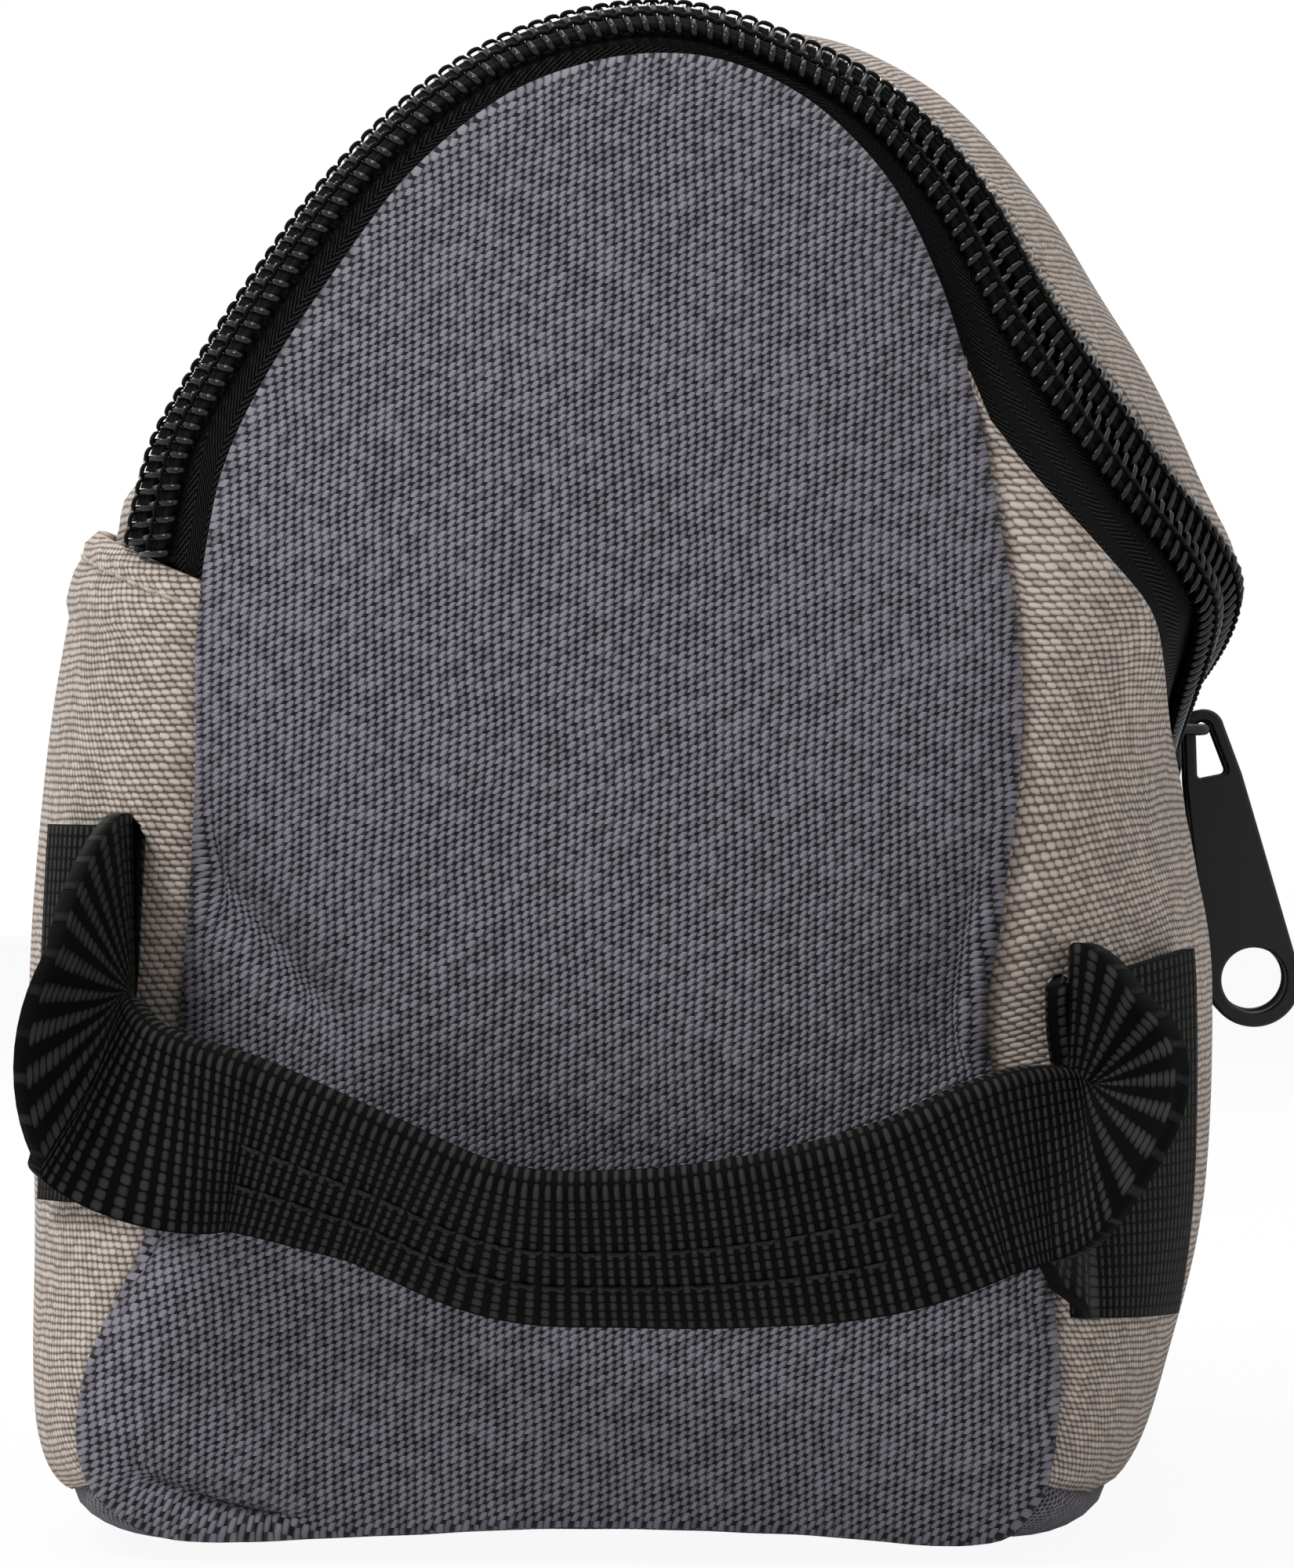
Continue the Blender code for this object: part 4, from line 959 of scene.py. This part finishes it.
def coil(name, sign, body, node):
    """A continuous coil whose turns lock between those of its partner, with its cords and threads."""
    turns = int(CHAIN_RUN[-1] / COIL_PITCH) - 1
    phase = np.arange(turns * COIL_STEPS) / COIL_STEPS + (0.0 if sign < 0 else 0.5)
    spots = phase * COIL_PITCH
    angle = -sign * 2 * math.pi * phase
    square = np.abs(np.cos(angle)) ** 0.75 * np.sign(np.cos(angle))
    middle = beside_chain(spots, 0.0, 0.0)
    side = beside_chain(spots, 1.0, 0.0) - middle
    across = sign * (COIL_CENTRE - COIL_REACH * square)[:, None]
    rise = (COIL_OUT + COIL_HALF_HEIGHT * np.sin(angle))[:, None]
    line = middle + side * across + chain_out(spots) * rise
    points, faces = tube(line, COIL_WIRE, 7, unit(np.gradient(middle, axis=0)))
    piece_from(name, points, faces, COIL, None, body, [node])
    spots = np.linspace(0.5 * COIL_PITCH, CHAIN_RUN[-1] - 0.5 * COIL_PITCH, 900)
    out = chain_out(spots)
    for number, across in enumerate(CORDS_ACROSS):
        path = beside_chain(spots, sign * across, COIL_OUT)
        points, faces = tube(path, CORD_RADIUS, 8, out)
        piece_from(name + "_cord_" + str(number + 1), points, faces, BLACK_THREAD, body=body)
    top = COIL_OUT + COIL_HALF_HEIGHT + COIL_WIRE - 0.05 * MM
    path = beside_chain(spots, sign * 2.3 * MM, top)
    stitches(name + "_thread", path, out, BLACK_THREAD, body, COIL_PITCH, 1.6 * MM, 0.24 * MM)


# Sliders and pullers

SLIDER_SPACING = 16.0 * MM
SLIDER_LENGTH = 14.0 * MM
SLIDER_WIDTH = 11.0 * MM
NOSE_ROUND = 2.6 * MM
TAIL_ROUND = 3.4 * MM
TAIL_INSET = 4.2 * MM
PLATE_IN = 1.4 * MM
PLATE_OUT = 2.3 * MM
CROWN_OUT = 5.0 * MM
CROWN_REACH = 4.3 * MM
CROWN_RADIUS = 0.62 * MM
PULLER_TILT = 11.3
PULLER_LENGTH = 36.0 * MM
PULLER_END = 10.5 * MM
PULLER_HOLE = 7.2 * MM
PULLER_THICK = 2.0 * MM
PULLER_NOSE = 2.3 * MM
PULLER_SHOULDER = 3.2 * MM
SHOULDER_DROP = 5.6 * MM
SLOT_TOP = 0.9 * MM
SLOT_HALF = 1.7 * MM
SLOT_LENGTH = 6.2 * MM
SLOT_CORNER = 0.5 * MM


def bevelled_plate(name, outlines, thickness, bevel):
    """A flat metal plate with rounded edges, its outline first and its holes after it."""
    curve = bpy.data.curves.new(name, "CURVE")
    curve.dimensions = "2D"
    curve.fill_mode = "BOTH"
    curve.bevel_depth = bevel
    curve.bevel_resolution = 3
    curve.offset = -bevel
    curve.extrude = thickness / 2 - bevel
    for outline in outlines:
        spline = curve.splines.new("POLY")
        spline.points.add(len(outline) - 1)
        for point, (x, y) in zip(spline.points, outline):
            point.co = (x, y, 0.0, 1.0)
        spline.use_cyclic_u = True
    curve.materials.append(METAL)
    obj = linked(name, curve)
    return obj


def arc(centre, radius, first, last, steps):
    turns = np.radians(np.linspace(first, last, steps))
    return [(centre[0] + radius * math.cos(t), centre[1] + radius * math.sin(t)) for t in turns]


def rectangle(left, right, low, high):
    return [(left, low), (right, low), (right, high), (left, high)]


def crown_point(y):
    return lifted(ZIP_A, MID + y, CROWN_OUT)


def puller_outlines():
    """The tab's outline, its slot and its hole, from the crown's bar at the origin."""
    end = (0.0, PULLER_NOSE - PULLER_LENGTH + PULLER_END / 2)
    outline = (
        arc((0.0, 0.0), PULLER_NOSE, 0, 180, 18)
        + [(-PULLER_SHOULDER, -SHOULDER_DROP)]
        + arc(end, PULLER_END / 2, 184, 356, 40)
        + [(PULLER_SHOULDER, -SHOULDER_DROP)]
    )
    low = SLOT_TOP - SLOT_LENGTH + SLOT_CORNER
    slot = (
        arc((0.0, 0.0), SLOT_TOP, 180, 0, 9)
        + arc((SLOT_HALF - SLOT_CORNER, low), SLOT_CORNER, 0, -90, 5)
        + arc((SLOT_CORNER - SLOT_HALF, low), SLOT_CORNER, 270, 180, 5)
    )
    return [outline, slot, arc(end, PULLER_HOLE / 2, 0, -352, 46)]


def puller(name, y, node, body):
    tab = bevelled_plate(name, puller_outlines(), PULLER_THICK, 0.32 * MM)
    tab.matrix_world = (
        Matrix.Translation(Vector(crown_point(y)))
        @ Matrix.Rotation(-math.radians(PULLER_TILT), 4, "Y")
        @ Matrix.Rotation(math.radians(90), 4, "X")
    )
    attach(tab, body)
    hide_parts(node)


def slider_shield(nose):
    """The outline of a slider's plates, widest at the nose, which points along nose times y."""
    shield = []
    for up in (1, -1):
        front = (nose * (SLIDER_LENGTH / 2 - NOSE_ROUND), up * (SLIDER_WIDTH / 2 - NOSE_ROUND))
        back = (-nose * (SLIDER_LENGTH / 2 - TAIL_ROUND), up * (SLIDER_WIDTH / 2 - TAIL_INSET))
        shield += arc(front, NOSE_ROUND, up * (90 - 90 * nose), up * 90, 8)
        shield += arc(back, TAIL_ROUND, up * (90 + 90 * nose), up * 90, 8)
    return sorted(shield, key=lambda corner: math.atan2(corner[1], corner[0]))


def slider(name, y, nose, node, body):
    """A coil slider: its top plate, base, post and lip, and the crown that holds the tab."""
    half = SLIDER_LENGTH / 2
    wide = SLIDER_WIDTH / 2
    shield = slider_shield(nose)
    post_y = nose * (half - 4.8 * MM)
    post = rectangle(post_y - 2.0 * MM, post_y + 2.0 * MM, -0.5 * MM, 0.5 * MM)
    run = half - 3.3 * MM
    lip = rectangle(-run, run, -wide + 0.1 * MM, -wide + 1.2 * MM)
    point = surface(ZIP_A, MID + y)
    out = outward(ZIP_A, MID + y)
    along = np.array([0.0, 1.0, 0.0])
    # The plates lie in the chain's plane: x along the bag, y towards the lid, z outwards
    turned = Matrix(np.stack([along, np.cross(out, along), out], axis=1).tolist()).to_4x4()
    # Each plate's name, outline, thickness, bevel, and the height of its middle
    for part, outline, thickness, bevel, height in (
        ("", shield, PLATE_OUT - PLATE_IN, 0.28 * MM, (PLATE_IN + PLATE_OUT) / 2),
        ("_base", shield, 0.9 * MM, 0.25 * MM, -3.35 * MM),
        ("_post", post, 5.4 * MM, 0.12 * MM, -0.9 * MM),
        ("_lip", lip, 2.8 * MM, 0.25 * MM, 0.5 * MM),
    ):
        plate = bevelled_plate(name + part, [outline], thickness, bevel)
        plate.matrix_world = Matrix.Translation(Vector(point + out * height)) @ turned
        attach(plate, body)
        if not part:
            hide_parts(node)
    crown = crown_point(y)
    loft = CROWN_OUT - PLATE_OUT + 0.3 * MM
    turns = np.linspace(0.0, math.pi, 25)
    bow_x = crown[0] - loft + loft * np.minimum(np.sin(turns) * 1.35, 1.0)
    bow = np.stack([bow_x, crown[1] + CROWN_REACH * np.cos(turns), 0 * turns + crown[2]], axis=1)
    points, faces = tube(bow, CROWN_RADIUS, 12, np.array([0.0, 0.0, 1.0]))
    piece_from(name + "_crown", points, faces, METAL, body=body)


# Lining and seam tape

LINING_THICK = 0.4 * MM


def wrinkled(across, along):
    """Offsets of the loose lining inside the cloth."""
    return -3.3 * MM - 0.7 * MM * np.abs(waves(across, along))


def linings():
    v = along_columns(8.0 * MM, SIDE_LENGTH - 8.0 * MM)
    low = HEM_A + HEM_DIP + 0.6 * MM - GIRTH
    high = ZIP_A - FRONT_EDGE - 2.8 * MM
    a = low + (high - low) * shares(150)[:, None]
    offset = wrinkled(a * 1.3 + 0.02, v * 1.2)
    cloth("lining_body", a, v, offset, LINING, "body", ["body_lining"], LINING_THICK)
    # The lid's lining runs across between the two halves of one curve
    inset = 9.3 * MM
    edge_a, edge_v = edge_curve(inset, 17.8 * MM, ZIP_CORNER_DROP - inset, -8.0 * MM, 401)
    near_a = edge_a[:201, None]
    near_v = edge_v[:201, None]
    v = near_v + (SIDE_LENGTH - 2 * near_v) * shares(90)
    follow = np.clip(1 - np.arange(201) / 60.0, 0.0, 1.0)[:, None]
    a = near_a + follow * (hem_at(v) - hem_at(edge_v[0]))
    offset = wrinkled(a * 1.2, v * 1.3)[::-1]
    cloth("lining_lid", a[::-1], v[::-1], offset, LINING, "lid", ["lid_lining"], LINING_THICK)


def end_lining(name, side, node):
    _, x, z, _, bulge = end_rings(220, 4.8 * MM, np.linspace(1.0, 0.02, 34))
    depth = HALF_LENGTH + bulge - 1.9 * MM - 0.5 * MM * np.abs(waves(x, z))
    end_sheet(name, side, np.stack([x, side * depth, z], axis=-1), LINING, node, LINING_THICK)


def seam_tape(name, side, node):
    """The tape bound over the raw edges inside an end seam, flat round its rim."""
    stations, centre, spokes, reach = end_spokes(360)
    insets = np.array([4.8, 5.3, 6.4, 7.6, 8.9, 9.5]) * MM
    crown = np.array([0.35, 0.0, 0.12, 0.0, 0.05, 0.35]) * MM
    x, z = np.moveaxis(centre + spokes[:, None] * (1 - insets / reach)[..., None], -1, 0)
    y = HALF_LENGTH - 2.4 * MM - crown + 0.07 * MM * np.sin(stations / (1.9 * MM))[:, None]
    points = np.stack([x, side * y, z], axis=-1)
    band = np.stack(np.broadcast_arrays(insets, stations[:, None]), axis=-1)
    faces = grid_faces(*y.shape, ring=True, flipped=side > 0)
    thicken(piece_from(name, points, faces, BINDING, band, "body", [node]), 0.9 * MM)


def seam_shadow_cord(name, side):
    """A dark cord along the groove of an end seam, painted shade that stands in for the groove's
    shadow.
    """
    _, centre, spokes, reach = end_spokes(500, endpoint=True)
    x, z = (centre + spokes * (1 + 0.28 * MM / reach)).T
    y = np.full(len(x), side * (HALF_LENGTH + 0.05 * MM))
    path = np.stack([x, y, np.maximum(z, 0.62 * MM)], axis=1)
    points, faces = tube(path, 0.50 * MM, 8, np.array([0.0, side, 0.0]))
    piece_from(name, points, faces, SEAM_SHADE, body="body")


# Handle

WEBBING_WIDTH = 38.0 * MM
WEBBING_THICK = 1.5 * MM
WEB_COLUMNS = 12
FOLD_RADIUS = 1.0 * MM
HANDLE_REACH = 23.0 * MM
GRIP_LEAN = 42.0
PATCH_START = 4.2 * MM
BACK_PATCH_END = 18.0 * MM
FRONT_PATCH_END = 23.5 * MM
WEB_OFF = 0.6 * MM + WEBBING_THICK / 2
BACK_PATCH_HEIGHT = 54.0 * MM
FRONT_PATCH_HEIGHT = 42.5 * MM

# The strap's path from its left patch to its right one. Each row has its share of the way across,
# its share of the reach, its height above a straight line in metres, how far its fold is open in
# degrees, and how much of its front layer's opening goes straight out from the end.
LOOP = [
    (0.000, 0.00, 0.0010, 178.0, 0.90),
    (0.004, 0.16, 0.0014, 160.0, 0.85),
    (0.010, 0.38, 0.0014, 112.0, 0.75),
    (0.026, 0.60, 0.0010, 56.0, 0.42),
    (0.066, 0.81, -0.0010, 30.0, 0.05),
    (0.160, 0.96, -0.0024, 10.0, 0.05),
    (0.291, 1.00, -0.0060, 0.0, 0.10),
    (0.415, 1.00, -0.0092, 0.0, 0.10),
    (0.540, 1.00, -0.0080, 0.0, 0.10),
    (0.665, 1.00, -0.0050, 0.0, 0.10),
    (0.790, 0.97, -0.0005, 4.0, 0.10),
    (0.880, 0.86, 0.0044, 12.0, 0.15),
    (0.940, 0.68, 0.0066, 17.0, 0.20),
    (0.984, 0.44, 0.0066, 36.0, 0.35),
    (1.000, 0.20, 0.0032, 104.0, 0.80),
    (1.000, 0.00, 0.0010, 176.0, 0.90),
]

# Places on that path where the grip starts and ends
LEFT_SPLIT = 5.0
RIGHT_SPLIT = 10.0
LOOP_END = len(LOOP) - 1.0


def girth_at_height(height, low_place, high_place):
    places = np.linspace(low_place, high_place, 400)
    heights = outline_at(MIDDLE, places)[:, 1]
    order = np.argsort(heights)
    return girth_of(np.interp(height, heights[order], places[order]))


BACK_PATCH_A = girth_at_height(BACK_PATCH_HEIGHT, HEM_LINE, BACK_BASE_SEAM)
FRONT_PATCH_A = girth_at_height(FRONT_PATCH_HEIGHT, FRONT_BASE_SEAM, ZIP_LINE)


def web_section(opening):
    """The folded webbing's middle line, as outward and downward parts, with the fold at the origin."""
    turn = math.radians(180.0 - opening)
    half = (WEBBING_WIDTH - FOLD_RADIUS * turn) / 2
    t = shares(WEB_COLUMNS)
    inner = np.stack([0 * t, half * (1 - t)], axis=1)
    round_fold = turn * t[1:]
    bend = FOLD_RADIUS * np.stack([1 - np.cos(round_fold), -np.sin(round_fold)], axis=1)
    outer = bend[-1] + half * t[1:, None] * np.array([math.sin(turn), -math.cos(turn)])
    return np.concatenate([inner, bend, outer])


def square_to(way, vectors):
    """The part of the vectors that is square to unit vectors."""
    return vectors - way * np.sum(vectors * way, axis=1, keepdims=True)


def loop_rows(places):
    """Rows of points across the folded strap, at places along its path."""
    left = lifted(BACK_PATCH_A, PATCH_START, WEB_OFF)
    right = lifted(FRONT_PATCH_A, PATCH_START, WEB_OFF)
    across, reach, rise, opening, frontal = np.array(LOOP).T
    x = left[0] + (right[0] - left[0]) * across
    y = left[1] - (HALF_LENGTH + HANDLE_REACH + left[1]) * reach
    z = left[2] + (right[2] - left[2]) * across + rise
    points = np.stack([x, y, z], axis=1)
    after = open_curve(points, np.minimum(places + 0.02, LOOP_END))
    ahead = unit(after - open_curve(points, np.maximum(places - 0.02, 0.0)))
    lean = 0.72 * smooth_step(places, 2.5) + 0.28 * smooth_step(places - 3.0, 4.0)
    lean = lean * (1 - 0.75 * smooth_step(places - 7.5, 4.0)) * math.radians(GRIP_LEAN)
    # Its ribs lie square to the strap, and its front layer may open straighter out than that
    down = unit(square_to(ahead, np.stack([0 * lean, np.sin(lean), -np.cos(lean)], axis=1)))
    out = unit(np.cross(down, ahead))
    numbers = np.arange(len(LOOP))
    frontal = np.interp(places, numbers, frontal)[:, None]
    out = unit(out * (1 - frontal) + square_to(down, np.array([0.0, -1.0, 0.0])) * frontal)
    sections = np.array([web_section(angle) for angle in np.interp(places, numbers, opening)])
    return open_curve(points, places)[:, None] + sections @ np.stack([out, down], axis=1)


def patch_rows(centre_a, distances, flip):
    """Rows of points across a sewn patch, where the strap lies flat on the side of the bag."""
    across = np.linspace(0.5, -0.5, 3 * WEB_COLUMNS - 2) * WEBBING_WIDTH * flip
    return lifted(centre_a + across, distances[:, None], WEB_OFF)


def strap(name, rows, start_length):
    """Webbing through rows of points across it. Returns its length too."""
    run = start_length + running_length(rows[:, rows.shape[1] // 2])
    width = np.array([running_length(row) for row in rows])
    width = width * WEBBING_WIDTH / width[:, -1:]
    flat = np.stack(np.broadcast_arrays(width, run[:, None]), axis=-1)
    obj = piece_from(name, rows, grid_faces(*rows.shape[:2]), WEBBING, flat)
    return thicken(obj, WEBBING_THICK, 0.0), run[-1]


def handle():
    left_patch = patch_rows(BACK_PATCH_A, np.linspace(BACK_PATCH_END, PATCH_START, 30), 1.0)
    right_patch = patch_rows(FRONT_PATCH_A, np.linspace(PATCH_START, FRONT_PATCH_END, 30), -1.0)
    left = np.concatenate([left_patch, loop_rows(np.linspace(0.05, LEFT_SPLIT, 60))])
    grip = loop_rows(np.linspace(LEFT_SPLIT, RIGHT_SPLIT, 90))
    right_loop = loop_rows(np.linspace(RIGHT_SPLIT, LOOP_END - 0.05, 60))
    left_strap, run = strap("strap_left", left, 0.0)
    grip_strap, run = strap("strap_grip", grip, run)
    right_strap, run = strap("strap_right", np.concatenate([right_loop, right_patch]), run)
    for end_strap, node in ((left_strap, "handle_left_anchor"), (right_strap, "handle_right_anchor")):
        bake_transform(end_strap)
        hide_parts(node)
    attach(grip_strap, "handle")
    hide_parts("handle_grip")
    # Rows of sewing that hold the folded layers together
    front = grip[:, 2 * (WEB_COLUMNS - 1) :]
    for number, share in enumerate((0.41, 0.68)):
        column, beyond = divmod(share * (WEB_COLUMNS - 1), 1.0)
        column = int(column)
        path = front[:, column] + (front[:, column + 1] - front[:, column]) * beyond
        facing = unit(np.cross(np.gradient(path, axis=0), front[:, -1] - front[:, 0]))
        facing = facing * np.sign(-facing[:, 1])[:, None]
        path = path + facing * (WEBBING_THICK / 2 + 0.08 * MM)
        name = "grip_sewing_" + str(number + 1)
        stitches(name, path, facing, GRIP_THREAD, "handle", 2.9 * MM, 2.3 * MM, 0.24 * MM)


# Stage

# The photograph's view of the end
PHOTO_CAMERA = (0.035, -1.020, 0.080)
PHOTO_AIM = (0.0022, -0.120, 0.0772)
PHOTO_LENS = 208.0

WHITE = (1.0, 1.0, 1.0, 1.0)
FLOOR_HALF = 3.0
FLOOR_DOWN = 0.4 * MM
FLOOR_GREY = 0.86
FLOOR_SEEN_WHITE = 0.93
WORLD_LIGHT = 0.31

# Each lamp's name, place, aim, size in metres and power in watts
LAMPS = [
    ("key", (-0.70, -0.85, 1.25), (0.0, -0.05, 0.07), 0.45, 14.0),
    ("fill", (0.80, -1.00, 0.55), (0.0, -0.05, 0.06), 0.60, 0.7),
    ("top", (0.05, 0.10, 1.20), (0.0, 0.0, 0.08), 0.80, 6.0),
    ("back", (-0.50, 0.95, 0.70), (0.0, 0.0, 0.08), 0.60, 5.0),
]


def cleared_tree(owner):
    owner.use_nodes = True
    owner.node_tree.nodes.clear()
    return owner.node_tree


def seen(tree):
    """1 where the camera looks, straight or through a mirror or glass, and 0 for other light."""
    path = add_node(tree, "LightPath").outputs
    through_gloss = maths(tree, "MAXIMUM", path["Is Glossy Ray"], path["Is Transmission Ray"])
    return maths(tree, "MAXIMUM", path["Is Camera Ray"], through_gloss)


def floor():
    """A pale floor, nearly white where it is seen, which keeps the shadow."""
    h = FLOOR_HALF
    mesh = bpy.data.meshes.new("floor")
    mesh.from_pydata([(-h, -h, 0), (h, -h, 0), (h, h, 0), (-h, h, 0)], [], [(0, 1, 2, 3)])
    obj = linked("floor", mesh)
    obj.location.z = -FLOOR_DOWN
    made = bpy.data.materials.new("floor")
    tree = cleared_tree(made)
    pale = add_node(tree, "BsdfDiffuse", Color=(FLOOR_GREY, FLOOR_GREY, FLOOR_GREY, 1.0))
    white = add_node(tree, "Emission", Color=WHITE, Strength=1.0)
    mixed = add_node(tree, "MixShader")
    feed(tree, maths(tree, "MULTIPLY", seen(tree), FLOOR_SEEN_WHITE), mixed.inputs[0])
    feed(tree, pale.outputs[0], mixed.inputs[1])
    feed(tree, white.outputs[0], mixed.inputs[2])
    add_node(tree, "OutputMaterial", Surface=mixed.outputs[0])
    mesh.materials.append(made)


def sky():
    """A plain world that is white where it is seen and lights the object more softly."""
    world = bpy.data.worlds.new("studio")
    bpy.context.scene.world = world
    tree = cleared_tree(world)
    strength = maths(tree, "MULTIPLY_ADD", seen(tree), 1.0 - WORLD_LIGHT, WORLD_LIGHT)
    pale = add_node(tree, "Background", Color=WHITE, Strength=strength)
    add_node(tree, "OutputWorld", Surface=pale.outputs[0])


def aimed(name, data, place, aim):
    """A lamp or camera at a place, turned towards another."""
    obj = linked(name, data)
    obj.location = place
    obj.rotation_euler = (Vector(aim) - Vector(place)).to_track_quat("-Z", "Y").to_euler()
    return obj


def studio():
    floor()
    sky()
    for name, place, aim, size, power in LAMPS:
        lamp = bpy.data.lights.new(name, "AREA")
        lamp.size = size
        lamp.energy = power
        aimed(name, lamp, place, aim)
    camera = bpy.data.cameras.new("camera")
    camera.sensor_width = 36.0
    camera.lens = PHOTO_LENS
    camera.clip_start = 0.05
    bpy.context.scene.camera = aimed("camera", camera, PHOTO_CAMERA, PHOTO_AIM)
    bpy.context.scene.view_settings.view_transform = "Standard"


front_cloth()
back_cloth()
bottom_cloth()
end_cloth("end_cloth_near", -1, "end_panel_near")
end_cloth("end_cloth_far", 1, "end_panel_far")
lid_cloth()
zip_tapes()
coil("coil_body", -1, "body", "zipper_coil_body")
coil("coil_lid", 1, "lid", "zipper_coil_lid")
for end, way in (("near", -1), ("far", 1)):
    slider("zip_slider_" + end, way * SLIDER_SPACING / 2, -way, "slider_" + end, "slider_" + end)
    puller("pull_tab_" + end, way * SLIDER_SPACING / 2, "puller_" + end, "puller_" + end)
    end_lining("lining_end_" + end, way, "end_lining_" + end)
    seam_tape("seam_tape_" + end, way, "seam_binding_" + end)
    seam_shadow_cord("seam_shadow_cord_" + end, way)
linings()
handle()
studio()
